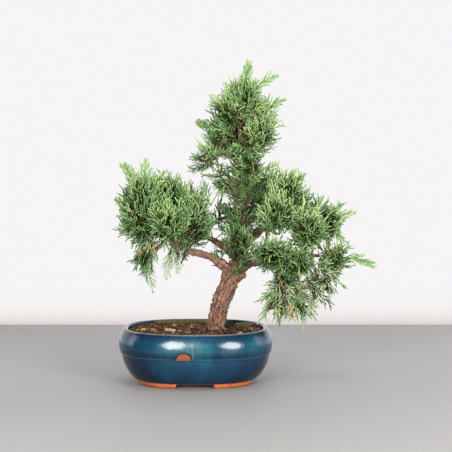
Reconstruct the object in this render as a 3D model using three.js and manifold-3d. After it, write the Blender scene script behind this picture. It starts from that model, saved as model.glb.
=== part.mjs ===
// A juniper bonsai in a glazed oval pot. Millimetres, Z up, standing on Z = 0.
import * as THREE from 'three';
import * as BufferGeometryUtils from 'three/addons/utils/BufferGeometryUtils.js';
import Module from 'manifold-3d';

const wasm = await Module();
wasm.setup();

// Pot
const potWidth = 160;
const potDepth = 128;
const potHeight = 58;
const potWall = 4;
const potFloor = 5;
const lipInset = 6;
const lipWidth = 2.4;
const lipRound = 1.2;
const shoulderDrop = 16.8;
const innerDrop = 11.6;
const bandDrop = 8;
const bandInset = 1.7;
const bandStep = 1;
const baseInset = 17.5;
const baseRound = 3;
const floorInset = 8;
const footHeight = 5;
const footInset = 0.5;
const footWidth = 15;
const footTaper = 4;
const footRoot = 0.5;
const ovalPower = 2.5;
const potSides = 36;
const notchWidth = 38;
const drainSpacing = 56;
const drainRadius = 7;
const drainSides = 16;

// Clearances
const gap = 0.3;

// Fineness of the surfaces
const vertexSnap = 0.001;
const smallestDetail = 0.15;

// Soil
const soilDrop = 3;
const soilMound = 4;
const soilLumps = 0.5;
const soilSlack = 0.9;

// Moss and loose bark
const mossLift = 0.2;
const chipSides = 7;
const chipTopShare = 0.42;
const chipLift = 0.4;
const chipTilt = 0.12;

// Drain nets and their clips
const netSize = 22;
const netThick = 1;
const netHoles = 3;
const netBar = 1.6;
const wireRadius = 0.5;
const wireReach = 3;
const wireSteps = 20;

// Tree
const limbSides = 7;
const twigRadius = 1.1;
const twigSag = 1.5;
const twigSides = 5;
const shootRadius = 2;
const shootSlope = 3;
const shootSwell = 1.5;
const tuftLength = 1.12;
const tuftVariety = 0.3;
const tuftLift = 0.12;
const valleyLength = 0.62;
const tuftTwist = [1.3, 2.1, 0.7];
const tuftWaves = [7.3, 8.1, 6.7];
const twigSwell = [0.5, 0.2, 0];
const twigSink = 0.5;

const soilLine = potHeight - soilDrop;
const treeFoot = new THREE.Vector3(0, 0, soilLine);

// Solids and meshes

function solidOf(geometry) {
  const bare = geometry.index ? geometry.toNonIndexed() : geometry.clone();
  bare.deleteAttribute('normal');
  bare.deleteAttribute('uv');
  const merged = BufferGeometryUtils.mergeVertices(bare, vertexSnap);
  const corners = merged.index.array;
  const kept = [];
  for (let i = 0; i < corners.length; i += 3) {
    const [a, b, c] = [corners[i], corners[i + 1], corners[i + 2]];
    if (a !== b && b !== c && c !== a) kept.push(a, b, c);
  }
  const vertProperties = new Float32Array(merged.attributes.position.array);
  const triVerts = new Uint32Array(kept);
  return new wasm.Manifold(new wasm.Mesh({ numProp: 3, vertProperties, triVerts }));
}

function joined(solids) {
  return solids.reduce((whole, solid) => whole.add(solid));
}

function without(solid, cutters) {
  return cutters.reduce((rest, cutter) => rest.subtract(cutter), solid);
}

function geometryOf(solid) {
  const built = solid.getMesh();
  const geometry = new THREE.BufferGeometry();
  geometry.setAttribute('position', new THREE.BufferAttribute(new Float32Array(built.vertProperties), 3));
  geometry.setIndex(new THREE.BufferAttribute(new Uint32Array(built.triVerts), 1));
  return geometry;
}

// The main piece left by a cut, with slivers thinner than the smallest detail smoothed away
function largestBody(solid) {
  const tidied = solidOf(geometryOf(solid.simplify(smallestDetail)));
  return tidied.decompose().reduce((best, body) => (body.volume() > best.volume() ? body : best));
}

// A mesh drawn about the middle of its own box and placed there
function meshOf(name, solid, look) {
  const geometry = geometryOf(solid);
  geometry.computeVertexNormals();
  geometry.computeBoundingBox();
  const place = geometry.boundingBox.getCenter(new THREE.Vector3());
  geometry.translate(-place.x, -place.y, -place.z);
  const mesh = new THREE.Mesh(geometry, new THREE.MeshStandardMaterial(look));
  mesh.name = name;
  mesh.position.copy(place);
  return mesh;
}

// A turned profile spread over the pot's rounded oval plan
function ovalBody(profile, sides) {
  const points = profile.map(([radius, height]) => new THREE.Vector2(radius, height));
  const geometry = new THREE.LatheGeometry(points, sides);
  geometry.rotateX(Math.PI / 2);
  const place = geometry.attributes.position;
  const ratio = potDepth / potWidth;
  const squared = (value) => Math.sign(value) * Math.abs(value) ** (2 / ovalPower);
  for (let i = 0; i < place.count; i += 1) {
    const radius = Math.hypot(place.getX(i), place.getY(i));
    const angle = Math.atan2(place.getY(i), place.getX(i));
    place.setXY(i, radius * squared(Math.cos(angle)), radius * ratio * squared(Math.sin(angle)));
  }
  return geometry;
}

function block(width, depth, height, x, y, z) {
  return new THREE.BoxGeometry(width, depth, height).translate(x, y, z);
}

function uprightRod(radius, height, x, y, z, sides) {
  const rod = new THREE.CylinderGeometry(radius, radius, height, sides);
  return rod.rotateX(Math.PI / 2).translate(x, y, z);
}

// A tapering limb: a straight rod bent along a smooth curve
function limbCurve(points) {
  return new THREE.CatmullRomCurve3(points.map((point) => point.clone()), false, 'centripetal');
}

function bentRod(points, radii, sides, steps) {
  const curve = limbCurve(points);
  const frames = curve.computeFrenetFrames(steps, false);
  const rod = new THREE.CylinderGeometry(1, 1, 1, sides, steps);
  const place = rod.attributes.position;
  for (let i = 0; i < place.count; i += 1) {
    const along = place.getY(i) + 0.5;
    const step = Math.round(along * steps);
    const span = along * (radii.length - 1);
    const low = Math.min(Math.floor(span), radii.length - 2);
    const radius = THREE.MathUtils.lerp(radii[low], radii[low + 1], span - low);
    const spot = curve.getPoint(along);
    spot.addScaledVector(frames.normals[step], place.getZ(i) * radius);
    spot.addScaledVector(frames.binormals[step], place.getX(i) * radius);
    place.setXYZ(i, spot.x, spot.y, spot.z);
  }
  return rod;
}

// Pot: rounded shoulder, band, and a base that curves under

const potHalf = potWidth / 2;
const lipHalf = potHalf - lipInset;
const innerHalf = lipHalf - potWall;
const bandHalf = potHalf - bandInset;
const baseHalf = potHalf - baseInset;
const floorHalf = baseHalf - floorInset;
const widestHeight = potHeight - shoulderDrop;
const bandHeight = widestHeight - bandDrop;
const floorTop = footHeight + potFloor;

// A curve's points, as shares of the way from one [radius, height] to another
function curveBetween([fromRadius, fromHeight], [toRadius, toHeight], shares) {
  return shares.map(([outward, upward]) => [
    THREE.MathUtils.lerp(fromRadius, toRadius, outward),
    THREE.MathUtils.lerp(fromHeight, toHeight, upward),
  ]);
}

const bellyShares = [[0.1, 0.04], [0.34, 0.16], [0.66, 0.42], [0.88, 0.69]];
const shoulderShares = [[0.1, 0.35], [0.47, 0.76], [0.83, 0.965]];
const innerShares = [[0.06, 0.48], [0.35, 0.83]];

// The inside of the wall from the lip down to the floor, moved in by a clearance
function innerWall(clearance) {
  const top = [innerHalf - clearance, potHeight - innerDrop];
  const bottom = [floorHalf - clearance, floorTop];
  return [top, ...curveBetween(top, bottom, innerShares), bottom];
}

const potProfile = [
  [0, footHeight],
  [baseHalf - baseRound, footHeight],
  ...curveBetween([baseHalf, footHeight], [bandHalf - bandStep, bandHeight - bandStep], bellyShares),
  [bandHalf - bandStep, bandHeight - bandStep],
  [bandHalf, bandHeight],
  ...curveBetween([bandHalf, bandHeight], [potHalf, widestHeight], [[0.7, 0.45]]),
  [potHalf, widestHeight],
  ...curveBetween([potHalf, widestHeight], [lipHalf, potHeight], shoulderShares),
  [lipHalf, potHeight],
  [lipHalf - lipWidth, potHeight],
  [innerHalf, potHeight - lipRound],
  ...innerWall(0),
  [0, floorTop],
];

const footOuter = baseHalf - footInset;
const footInner = footOuter - footWidth;
const footProfile = [
  [footInner, 0],
  [footOuter - footTaper, 0],
  [footOuter, footHeight + footRoot],
  [footInner, footHeight + footRoot],
  [footInner, 0],
];

function footNotches() {
  const tall = footHeight * 2;
  const frontToBack = block(notchWidth, potDepth, tall, 0, 0, 0);
  const sideToSide = block(potWidth, notchWidth, tall, 0, 0, 0);
  return [frontToBack, sideToSide].map(solidOf);
}

const drainPlaces = [-drainSpacing / 2, drainSpacing / 2];

function buildPot() {
  const feet = without(solidOf(ovalBody(footProfile, potSides)), footNotches());
  const body = solidOf(ovalBody(potProfile, potSides));
  const holes = drainPlaces.map((x) => {
    const floorMiddle = footHeight + potFloor / 2;
    return solidOf(uprightRod(drainRadius, potFloor * 2, x, 0, floorMiddle, drainSides));
  });
  return without(body.add(feet), holes);
}

// Drain nets and clips

const netBottom = floorTop + gap;
const netPitch = (netSize - netBar) / netHoles;

function buildNet(centreX) {
  const middle = netBottom + netThick / 2;
  const opening = netPitch - netBar;
  const openings = [];
  for (let row = 0; row < netHoles; row += 1) {
    for (let column = 0; column < netHoles; column += 1) {
      const x = centreX + (column - (netHoles - 1) / 2) * netPitch;
      const y = (row - (netHoles - 1) / 2) * netPitch;
      openings.push(solidOf(block(opening, opening, netThick * 2, x, y, middle)));
    }
  }
  return without(solidOf(block(netSize, netSize, netThick, centreX, 0, middle)), openings);
}

const legSpread = (netPitch + netBar) / 2 + gap + wireRadius;
const wireTop = netBottom + netThick + gap + wireRadius;
const wireBottom = footHeight - gap - wireRadius;

function wireGeometry(centreX) {
  const outward = legSpread + wireReach;
  const corners = [
    [-outward, wireBottom],
    [-legSpread, wireBottom],
    [-legSpread, wireTop],
    [legSpread, wireTop],
    [legSpread, wireBottom],
    [outward, wireBottom],
  ];
  const straight = new THREE.CurvePath();
  const spots = corners.map(([x, z]) => new THREE.Vector3(centreX + x, 0, z));
  for (let i = 0; i + 1 < spots.length; i += 1) {
    straight.add(new THREE.LineCurve3(spots[i], spots[i + 1]));
  }
  const bent = new THREE.CatmullRomCurve3(straight.getSpacedPoints(wireSteps + 4), false, 'centripetal');
  const ring = new THREE.Shape();
  ring.absarc(0, 0, wireRadius, 0, Math.PI * 2, false);
  return new THREE.ExtrudeGeometry(ring, {
    extrudePath: bent, steps: wireSteps, curveSegments: 3, bevelEnabled: false,
  });
}

// Soil: fills the pot, mounded towards the trunk, cut clear of the nets and clips

const soilEdge = innerHalf - gap * 2;
const soilBottom = floorTop + gap;
const soilRings = [0.94, 0.8, 0.62, 0.44, 0.24];

function soilTop(x, y) {
  const away = Math.hypot(x / potHalf, y / (potDepth / 2));
  const mound = soilMound * Math.max(0, 1 - away) ** 1.5;
  const lumps = soilLumps * Math.sin(x * 0.31 + 1.3) * Math.sin(y * 0.37 + 0.4);
  return soilLine + mound + lumps * Math.min(1, 2 - 2 * away);
}

function soilGeometry() {
  const [wallTop, ...wall] = innerWall(soilSlack);
  const side = wall.map(([radius, height]) => [radius, Math.max(height, soilBottom)]).reverse();
  const profile = [
    [0, soilBottom],
    ...side,
    [soilEdge, wallTop[1] + gap],
    [soilEdge, soilLine - soilLumps],
    ...soilRings.map((part) => [soilEdge * part, soilLine]),
    [0, soilLine],
  ];
  const geometry = ovalBody(profile, potSides);
  const place = geometry.attributes.position;
  for (let i = 0; i < place.count; i += 1) {
    if (place.getZ(i) > soilLine - 0.1) place.setZ(i, soilTop(place.getX(i), place.getY(i)));
  }
  return geometry;
}

// Trunk and limbs, as [sideways, back, above the soil] points with radii

const limbs = [
  { name: 'trunk',
    line: [[21, -8, -16], [21, -6, 10], [27, -4, 32], [37, -1, 54], [45, 3, 78], [50, 6, 110], [52, 4, 150],
      [46, 2, 195], [48, 1, 234]],
    radii: [9, 9, 9.6, 10.4, 6.2, 4.5, 3.6, 2.8, 1.5], steps: 20 },
  { name: 'left_low',
    line: [[37, -1, 57], [27, -6, 70], [14, -9, 78], [-6, -12, 84], [-32, -10, 98], [-54, -10, 114]],
    radii: [6, 5, 4, 3.3, 2.5, 1.5], steps: 10 },
  { name: 'left_high',
    line: [[43, 3, 74], [29, 9, 86], [14, 14, 95], [-2, 18, 112], [-12, 26, 130]],
    radii: [4.2, 3.6, 3, 2.2, 1.4], steps: 8 },
  { name: 'right_high',
    line: [[45, 4, 78], [60, 6, 96], [76, 8, 111], [94, 6, 124], [114, 8, 128]],
    radii: [4.4, 3.8, 3.2, 2.5, 1.5], steps: 8 },
  { name: 'right_mid',
    line: [[42, 0, 60], [56, -6, 69], [74, -9, 73], [96, -8, 76], [122, -2, 78], [142, 3, 76]],
    radii: [4.8, 4.2, 3.6, 2.9, 2.1, 1.3], steps: 10 },
  { name: 'right_drooping',
    line: [[74, -9, 73], [86, -9, 63], [92, -8, 50], [98, -4, 34]],
    radii: [3, 2.6, 2.1, 1.2], steps: 7 },
  { name: 'back_branch',
    line: [[50, 6, 104], [56, 20, 122], [66, 31, 138]],
    radii: [3.4, 2.6, 1.4], steps: 5 },
  { name: 'front_branch',
    line: [[47, 4, 86], [46, -8, 92], [52, -22, 98]],
    radii: [3, 2.3, 1.3], steps: 5 },
  { name: 'crown_left',
    line: [[49, 3, 168], [34, 5, 184], [20, 8, 196]],
    radii: [2.6, 2, 1.2], steps: 4 },
  { name: 'crown_right',
    line: [[47, 2, 188], [58, 0, 202], [70, -3, 210]],
    radii: [2.4, 1.9, 1.2], steps: 4 },
  { name: 'stub',
    line: [[40, -3, 54], [47, -8, 57], [51, -11, 58]],
    radii: [3.8, 3.4, 3], steps: 2 },
  { name: 'root_left', line: [[21, -7, 0], [12, -10, -3], [4, -12, -9]], radii: [6.5, 4.2, 2.2], steps: 4 },
  { name: 'root_front', line: [[21, -8, 0], [19, -16, -3], [17, -23, -9]], radii: [6.5, 4.2, 2], steps: 4 },
  { name: 'root_right', line: [[22, -6, 0], [32, -9, -3], [39, -11, -9]], radii: [6, 4, 2], steps: 4 },
];

function onTree(point) {
  return new THREE.Vector3(...point).add(treeFoot);
}

function woodSolid(extra) {
  return joined(limbs.map(({ line, radii, steps }) => {
    const grown = radii.map((radius) => radius + extra);
    return solidOf(bentRod(line.map(onTree), grown, limbSides, steps));
  }));
}

// Points on the wood that a twig can grow from, each with the limb's radius there
const woodSamples = limbs.filter(({ name }) => !name.startsWith('root')).flatMap(({ line, radii }) => {
  const curve = limbCurve(line.map(onTree));
  const samples = [];
  const count = 24;
  for (let i = 2; i <= count; i += 1) {
    const span = (i / count) * (radii.length - 1);
    const low = Math.min(Math.floor(span), radii.length - 2);
    samples.push({
      spot: curve.getPoint(i / count),
      radius: THREE.MathUtils.lerp(radii[low], radii[low + 1], span - low),
    });
  }
  return samples;
});

// Sprays: centre, reach each way, number of tufts, and tips of any long shoots
const sprays = [
  { name: 'left_outer_top', centre: [-55, -8, 139], reach: [22, 20, 21], shoots: [[-76, -5, 171], [-51, 0, 176]] },
  { name: 'left_outer', centre: [-58, -12, 113], reach: [20, 20, 17], shoots: [[-82, -5, 136], [-79, -9, 103]] },
  { name: 'left_middle', centre: [-30, 8, 139], reach: [19, 19, 18], shoots: [[-26, 9, 166]] },
  { name: 'left_front', centre: [-28, -28, 114], reach: [20, 18, 17], shoots: [] },
  { name: 'left_inner_top', centre: [0, -12, 127], reach: [17, 17, 16], shoots: [] },
  { name: 'left_inner_low', centre: [-1, -20, 108], reach: [18, 17, 16], shoots: [[3, -18, 84]] },
  { name: 'left_back', centre: [-12, 34, 129], reach: [21, 18, 16], shoots: [[-20, 56, 138]] },
  { name: 'left_rear', centre: [-44, 28, 116], reach: [20, 20, 17], shoots: [[-60, 44, 122]] },
  { name: 'left_hanging', centre: [-54, -6, 76], reach: [15, 14, 13], shoots: [[-45, -5, 42], [-70, -6, 62]] },
  { name: 'left_hanging_inner', centre: [-20, 6, 88], reach: [16, 15, 12], shoots: [[-19, 5, 60], [-30, 2, 54]] },
  { name: 'crown_top', centre: [49, 0, 242], reach: [19, 18, 15], shoots: [[55, 0, 278], [83, 2, 264]] },
  { name: 'crown_high_left', centre: [32, -9, 226], reach: [17, 17, 17], shoots: [[12, -4, 243]] },
  { name: 'crown_high_right', centre: [63, 8, 224], reach: [17, 17, 16], shoots: [[92, 2, 239]] },
  { name: 'crown_right', centre: [68, -8, 204], reach: [16, 16, 17], shoots: [[88, -8, 188]] },
  { name: 'crown_left', centre: [25, 10, 199], reach: [15, 16, 15], shoots: [[2, 8, 217]] },
  { name: 'crown_left_low', centre: [8, 0, 177], reach: [14, 13, 12], shoots: [[-7, 0, 182], [-4, 0, 166]] },
  { name: 'crown_front', centre: [50, -20, 200], reach: [17, 14, 17], shoots: [] },
  { name: 'crown_back', centre: [44, 26, 206], reach: [18, 16, 17], shoots: [] },
  { name: 'crown_low', centre: [56, -10, 172], reach: [14, 13, 15], shoots: [[47, -14, 134]] },
  { name: 'crown_low_left', centre: [27, 8, 154], reach: [14, 15, 14], shoots: [[14, 8, 144]] },
  { name: 'crown_low_right', centre: [64, 10, 150], reach: [14, 14, 15], shoots: [[82, 8, 172]] },
  { name: 'middle_back', centre: [36, 32, 118], reach: [17, 17, 17], shoots: [] },
  { name: 'middle_front', centre: [44, -28, 96], reach: [16, 14, 14], shoots: [[28, -26, 84], [38, -24, 74]] },
  { name: 'right_top', centre: [93, 2, 146], reach: [18, 18, 18], shoots: [[97, 4, 173], [118, 2, 159]] },
  { name: 'right_upper', centre: [84, -26, 124], reach: [19, 17, 17], shoots: [] },
  { name: 'right_rear', centre: [112, 24, 122], reach: [19, 18, 16], shoots: [[126, 38, 132]] },
  { name: 'right_outer', centre: [135, 6, 113], reach: [18, 17, 16], shoots: [[164, 5, 122], [156, 4, 92]] },
  { name: 'right_outer_front', centre: [116, -28, 108], reach: [19, 17, 16], shoots: [] },
  { name: 'right_back', centre: [76, 38, 138], reach: [20, 19, 18], shoots: [[84, 56, 150]] },
  { name: 'right_middle', centre: [78, -34, 81], reach: [20, 16, 14], shoots: [] },
  { name: 'right_middle_outer', centre: [106, -26, 71], reach: [18, 15, 13], shoots: [] },
  { name: 'right_tip', centre: [146, 0, 76], reach: [17, 16, 13], shoots: [[185, 0, 66]] },
  { name: 'right_lower_outer', centre: [132, -10, 50], reach: [19, 16, 15], shoots: [[147, -8, 34], [118, -8, 20]] },
  { name: 'right_lower', centre: [92, -10, 50], reach: [19, 16, 14], shoots: [[66, -12, 40]] },
  { name: 'right_lowest', centre: [82, -14, 24], reach: [16, 15, 13], shoots: [[86, -10, 3], [66, -14, 14]] },
  { name: 'right_lowest_outer', centre: [110, 4, 24], reach: [17, 16, 14], shoots: [[104, 0, 4]] },
];

// A leafy shoot: a slim spindle from one point to another
function shootGeometry(from, to, radius) {
  const length = from.distanceTo(to);
  const outline = [[0, 0], [radius, length * 0.6], [0, length]];
  const shoot = new THREE.LatheGeometry(outline.map(([r, h]) => new THREE.Vector2(r, h)), twigSides);
  const turn = new THREE.Quaternion().setFromUnitVectors(
    new THREE.Vector3(0, 1, 0),
    to.clone().sub(from).normalize(),
  );
  return shoot.applyQuaternion(turn).translate(from.x, from.y, from.z);
}

const ballCorners = new THREE.IcosahedronGeometry(1, 0).attributes.position;

// How closely a point faces the nearest corner: all of the way at a corner, least at a face's middle
const atCorner = 0.97;
const atFaceMiddle = 0.86;

// A ball of foliage: alternate points of a divided icosahedron stand out as tufts
function tuftBall(spray, index, extra) {
  const ball = new THREE.IcosahedronGeometry(1, 2);
  const place = ball.attributes.position;
  const direction = new THREE.Vector3();
  const corner = new THREE.Vector3();
  const turn = new THREE.Euler(...tuftTwist.map((twist) => index * twist));
  for (let i = 0; i < place.count; i += 1) {
    direction.fromBufferAttribute(place, i).normalize();
    let nearest = 0;
    for (let j = 0; j < ballCorners.count; j += 1) {
      nearest = Math.max(nearest, direction.dot(corner.fromBufferAttribute(ballCorners, j)));
    }
    const isTuft = nearest > atCorner || nearest < atFaceMiddle;
    const wave = Math.sin(direction.x * tuftWaves[0] + index) * Math.sin(direction.y * tuftWaves[1] - index)
      * Math.sin(direction.z * tuftWaves[2] + 1);
    const length = isTuft ? tuftLength + tuftVariety * wave : valleyLength;
    direction.applyEuler(turn);
    const lift = isTuft ? tuftLift : 0;
    place.setXYZ(
      i,
      direction.x * (spray.reach[0] * length + extra),
      direction.y * (spray.reach[1] * length + extra),
      direction.z * (spray.reach[2] * length + extra) + lift * spray.reach[2],
    );
  }
  const centre = onTree(spray.centre);
  return ball.translate(centre.x, centre.y, centre.z);
}

function twigStart(centre) {
  const cost = ({ spot }) => spot.distanceTo(centre) + 0.6 * Math.max(0, spot.z - centre.z);
  const near = woodSamples.reduce((best, sample) => (cost(sample) < cost(best) ? sample : best));
  const outward = centre.clone().sub(near.spot).normalize();
  return near.spot.clone().addScaledVector(outward, near.radius * twigSink);
}

// Every spray is drawn twice: as it is, and swollen by the gap to cut its neighbours
function spraySolid(spray, index, extra) {
  const centre = onTree(spray.centre);
  const start = twigStart(centre);
  const sag = start.clone().lerp(centre, 0.5).add(new THREE.Vector3(0, 0, -twigSag));
  const radii = twigSwell.map((swell) => twigRadius + swell + extra);
  const slope = extra * shootSlope;
  const parts = [
    solidOf(bentRod([start, sag, centre], radii, twigSides, 2)),
    solidOf(tuftBall(spray, index, slope)),
  ];
  spray.shoots.map(onTree).forEach((tip) => {
    const end = tip.clone().addScaledVector(tip.clone().sub(centre).normalize(), slope);
    parts.push(solidOf(shootGeometry(centre, end, shootRadius + extra * shootSwell)));
  });
  return joined(parts);
}

// Moss cushions and loose bark, resting just above the soil

const mosses = [
  { name: 'moss_back', spot: [-14, 40], size: [32, 10, 2.8] },
  { name: 'moss_right', spot: [50, 24], size: [10, 8, 2.2] },
];

const chips = [
  { spot: [-26, -22], size: [13, 6, 2.6], turn: 0.15 },
  { spot: [-44, -16], size: [8, 6, 2.4], turn: 1.1 },
  { spot: [-8, -34], size: [9, 5, 2.2], turn: 2.5 },
  { spot: [-54, -10], size: [7, 5, 2.2], turn: 0.4 },
  { spot: [46, -34], size: [9, 6, 2.4], turn: 0.9 },
  { spot: [57, -4], size: [8, 5, 2.4], turn: 1.9 },
  { spot: [26, 40], size: [10, 6, 2.4], turn: 0.5 },
  { spot: [-22, 10], size: [9, 7, 2.4], turn: 2.1 },
];

function mossGeometry({ spot: [x, y], size: [width, depth, height] }) {
  const cap = new THREE.SphereGeometry(1, 14, 8);
  return cap.rotateX(Math.PI / 2).scale(width, depth, height).translate(x, y, soilTop(x, y) + mossLift);
}

function chipGeometry({ spot: [x, y], size: [width, depth, height], turn }) {
  const slab = new THREE.CylinderGeometry(width * chipTopShare, width / 2, height, chipSides);
  slab.rotateX(Math.PI / 2).scale(1, depth / width, 1).rotateY(chipTilt).rotateZ(turn);
  return slab.translate(x, y, soilTop(x, y) + height * chipLift);
}

// Putting it together: the vessel, the ground in it, and the plant, each a group

const looks = {
  glaze: { color: 0x1d5b86, roughness: 0.18, metalness: 0 },
  soil: { color: 0x3d2a1e, roughness: 0.95, metalness: 0 },
  bark: { color: 0x7a4a33, roughness: 0.85, metalness: 0 },
  foliage: { color: 0x6f9440, roughness: 0.7, metalness: 0 },
  moss: { color: 0x6d6f2c, roughness: 0.95, metalness: 0 },
  chip: { color: 0x8a6444, roughness: 0.9, metalness: 0 },
  net: { color: 0x26282a, roughness: 0.6, metalness: 0 },
  wire: { color: 0xb9bcc0, roughness: 0.35, metalness: 1 },
};

const wood = woodSolid(0);
const woodRoom = woodSolid(gap);

const vessel = new THREE.Group();
vessel.add(meshOf('pot', buildPot(), looks.glaze));
drainPlaces.forEach((x) => {
  const side = x < 0 ? 'left' : 'right';
  vessel.add(meshOf(`drain_net_${side}`, buildNet(x), looks.net));
  vessel.add(meshOf(`net_clip_${side}`, solidOf(wireGeometry(x)), looks.wire));
});

const netRooms = drainPlaces.map((x) => {
  const roomHeight = netThick + gap * 4 + wireRadius * 2;
  const roomSize = netSize + gap * 2;
  return solidOf(block(roomSize, roomSize, roomHeight, x, 0, netBottom - gap + roomHeight / 2));
});
const soilRoom = solidOf(soilGeometry().translate(0, 0, gap));

const ground = new THREE.Group();
const soil = largestBody(without(solidOf(soilGeometry()), [woodRoom, ...netRooms]));
ground.add(meshOf('soil', soil, looks.soil));
mosses.forEach((moss) => {
  const cushion = largestBody(without(solidOf(mossGeometry(moss)), [soilRoom, woodRoom]));
  ground.add(meshOf(moss.name, cushion, looks.moss));
});
chips.forEach((chip, i) => {
  const piece = largestBody(without(solidOf(chipGeometry(chip)), [soilRoom, woodRoom]));
  ground.add(meshOf(`bark_chip_${i + 1}`, piece, looks.chip));
});

const plant = new THREE.Group();
plant.add(meshOf('trunk', largestBody(wood), looks.bark));
const taken = [woodRoom];
sprays.forEach((spray, i) => {
  const body = largestBody(without(spraySolid(spray, i, 0), taken));
  taken.push(spraySolid(spray, i, gap));
  plant.add(meshOf(`spray_${spray.name}`, body, looks.foliage));
});

const bonsai = new THREE.Group();
bonsai.add(vessel, ground, plant);

// The origin is the middle of the whole plant's box, on the ground
const box = new THREE.Box3().setFromObject(bonsai, true);
const middle = box.getCenter(new THREE.Vector3());
bonsai.children.forEach((group) => group.position.set(-middle.x, -middle.y, -box.min.z));

export default bonsai;
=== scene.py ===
import math
import bmesh
import bpy
import numpy as np
from mathutils import Matrix, Vector, noise


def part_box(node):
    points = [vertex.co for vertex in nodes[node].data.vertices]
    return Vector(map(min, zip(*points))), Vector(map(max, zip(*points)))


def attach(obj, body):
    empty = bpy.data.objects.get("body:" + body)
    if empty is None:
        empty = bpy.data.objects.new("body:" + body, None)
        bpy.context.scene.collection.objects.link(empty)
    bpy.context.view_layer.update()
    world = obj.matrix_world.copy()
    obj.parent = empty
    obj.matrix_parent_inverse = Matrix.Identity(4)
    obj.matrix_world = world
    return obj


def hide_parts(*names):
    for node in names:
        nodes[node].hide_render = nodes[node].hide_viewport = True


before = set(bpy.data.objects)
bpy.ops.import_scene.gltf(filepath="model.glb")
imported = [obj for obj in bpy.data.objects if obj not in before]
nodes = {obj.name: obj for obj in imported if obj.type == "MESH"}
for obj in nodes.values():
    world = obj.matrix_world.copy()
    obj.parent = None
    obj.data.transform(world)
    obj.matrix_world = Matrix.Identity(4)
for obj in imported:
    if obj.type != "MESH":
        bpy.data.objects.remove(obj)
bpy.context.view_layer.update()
print("frame loaded:", len(nodes), "pieces")

mm = 0.001

# the pot's middle, which the tree, the soil and the camera are all placed from
potLow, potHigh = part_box("pot")
potMiddle = np.array([(potLow.x + potHigh.x) / 2, (potLow.y + potHigh.y) / 2, 0]) / mm


# small helpers for meshes, with points in millimetres

def unit(v):
    v = np.asarray(v, float)
    return v / (np.linalg.norm(v, axis=-1, keepdims=True) + 1e-9)


def meshObject(name, points, quads, tris=(), uv=None, smooth=True):
    # uv is one pair per point
    mesh = bpy.data.meshes.new(name)
    quads = np.asarray(quads, np.int32).reshape(-1, 4)
    tris = np.asarray(tris, np.int32).reshape(-1, 3)
    corners = np.concatenate([quads.ravel(), tris.ravel()])
    starts = np.concatenate([np.arange(len(quads)) * 4, len(quads) * 4 + np.arange(len(tris)) * 3])
    mesh.vertices.add(len(points))
    mesh.vertices.foreach_set("co", (np.asarray(points) * mm).astype(np.float32).ravel())
    mesh.loops.add(len(corners))
    mesh.loops.foreach_set("vertex_index", corners)
    mesh.polygons.add(len(starts))
    mesh.polygons.foreach_set("loop_start", starts.astype(np.int32))
    mesh.update(calc_edges=True)
    mesh.polygons.foreach_set("use_smooth", np.full(len(starts), smooth))
    if uv is not None:
        layer = mesh.uv_layers.new(name="OFBake")
        layer.data.foreach_set("uv", np.asarray(uv, np.float32)[corners].ravel())
    mesh.validate()
    return placed(bpy.data.objects.new(name, mesh))


def placed(obj):
    bpy.context.scene.collection.objects.link(obj)
    return obj


def pointValue(obj, name, values):
    kind, field = ("FLOAT", "value") if np.ndim(values) == 1 else ("FLOAT_VECTOR", "vector")
    layer = obj.data.attributes.new(name, kind, "POINT")
    layer.data.foreach_set(field, np.asarray(values, np.float32).ravel())


def settle(obj, slotName, material, *replaced):
    obj.data.materials.clear()
    obj.data.materials.append(material)
    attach(obj, "root")
    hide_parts(*replaced)


def readMesh(items, field, width=3, kind=np.float32):
    out = np.zeros(len(items) * width, kind)
    items.foreach_get(field, out)
    return out.reshape(-1, width)


def pointsOf(obj):
    return readMesh(obj.data.vertices, "co").astype(float) / mm


def normalsOf(obj):
    return readMesh(obj.data.vertices, "normal").astype(float)


def setPoints(obj, points):
    obj.data.vertices.foreach_set("co", (points * mm).astype(np.float32).ravel())
    obj.data.update()


def fineMesh(obj, voxel):
    # an even mesh over everything the object encloses
    remesh = obj.modifiers.new("fine", "REMESH")
    remesh.mode = "VOXEL"
    remesh.voxel_size = voxel * mm
    remesh.use_smooth_shade = True
    fine = bpy.data.meshes.new_from_object(obj.evaluated_get(bpy.context.evaluated_depsgraph_get()))
    obj.modifiers.clear()
    obj.data = fine
    return obj


def remeshed(nodeName, name, voxel):
    # the same over a copy of a CAD solid
    return fineMesh(placed(bpy.data.objects.new(name, nodes[nodeName].data.copy())), voxel)


def lumps(points, size, seed=0.0):
    shift = Vector((seed, seed * 1.7, -seed * 0.6))
    return np.array([noise.noise(Vector(p) / size + shift) for p in points])


def atHeight(flat, height):
    return np.concatenate([flat, np.full((len(flat), 1), float(height))], 1)


def ringQuads(first, second):
    # faces between two closed rings of point numbers
    return np.stack([first, np.roll(first, -1), np.roll(second, -1), second], 1)


# small helpers for materials

def feed(socket, value):
    # a link where the value comes from a node, a setting where it is a plain value
    if isinstance(value, bpy.types.NodeSocket):
        socket.id_data.links.new(value, socket)
    else:
        socket.default_value = value


def addNode(tree, kind, inputs=None, **settings):
    node = tree.nodes.new(kind)
    for key, value in settings.items():
        setattr(node, key, value)
    for key, value in (inputs or {}).items():
        feed(node.inputs[key], value)
    return node


def newFinish(name, **values):
    # a material with its Principled shader; rough, specular and glow are the same all over
    material = bpy.data.materials.new(name)
    material.use_nodes = True
    shader = material.node_tree.nodes["Principled BSDF"]
    labels = {"rough": "Roughness", "specular": "Specular IOR Level", "glow": "Emission Strength"}
    for key, value in values.items():
        shader.inputs[labels[key]].default_value = value
    return material, material.node_tree, shader


def ramp(source, stops):
    node = addNode(source.id_data, "ShaderNodeValToRGB", {"Fac": source})
    elements = node.color_ramp.elements
    while len(elements) < len(stops):
        elements.new(0.5)
    for element, (position, colour) in zip(elements, stops):
        element.position = position
        element.color = (*colour, 1)
    return node.outputs["Color"]


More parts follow.
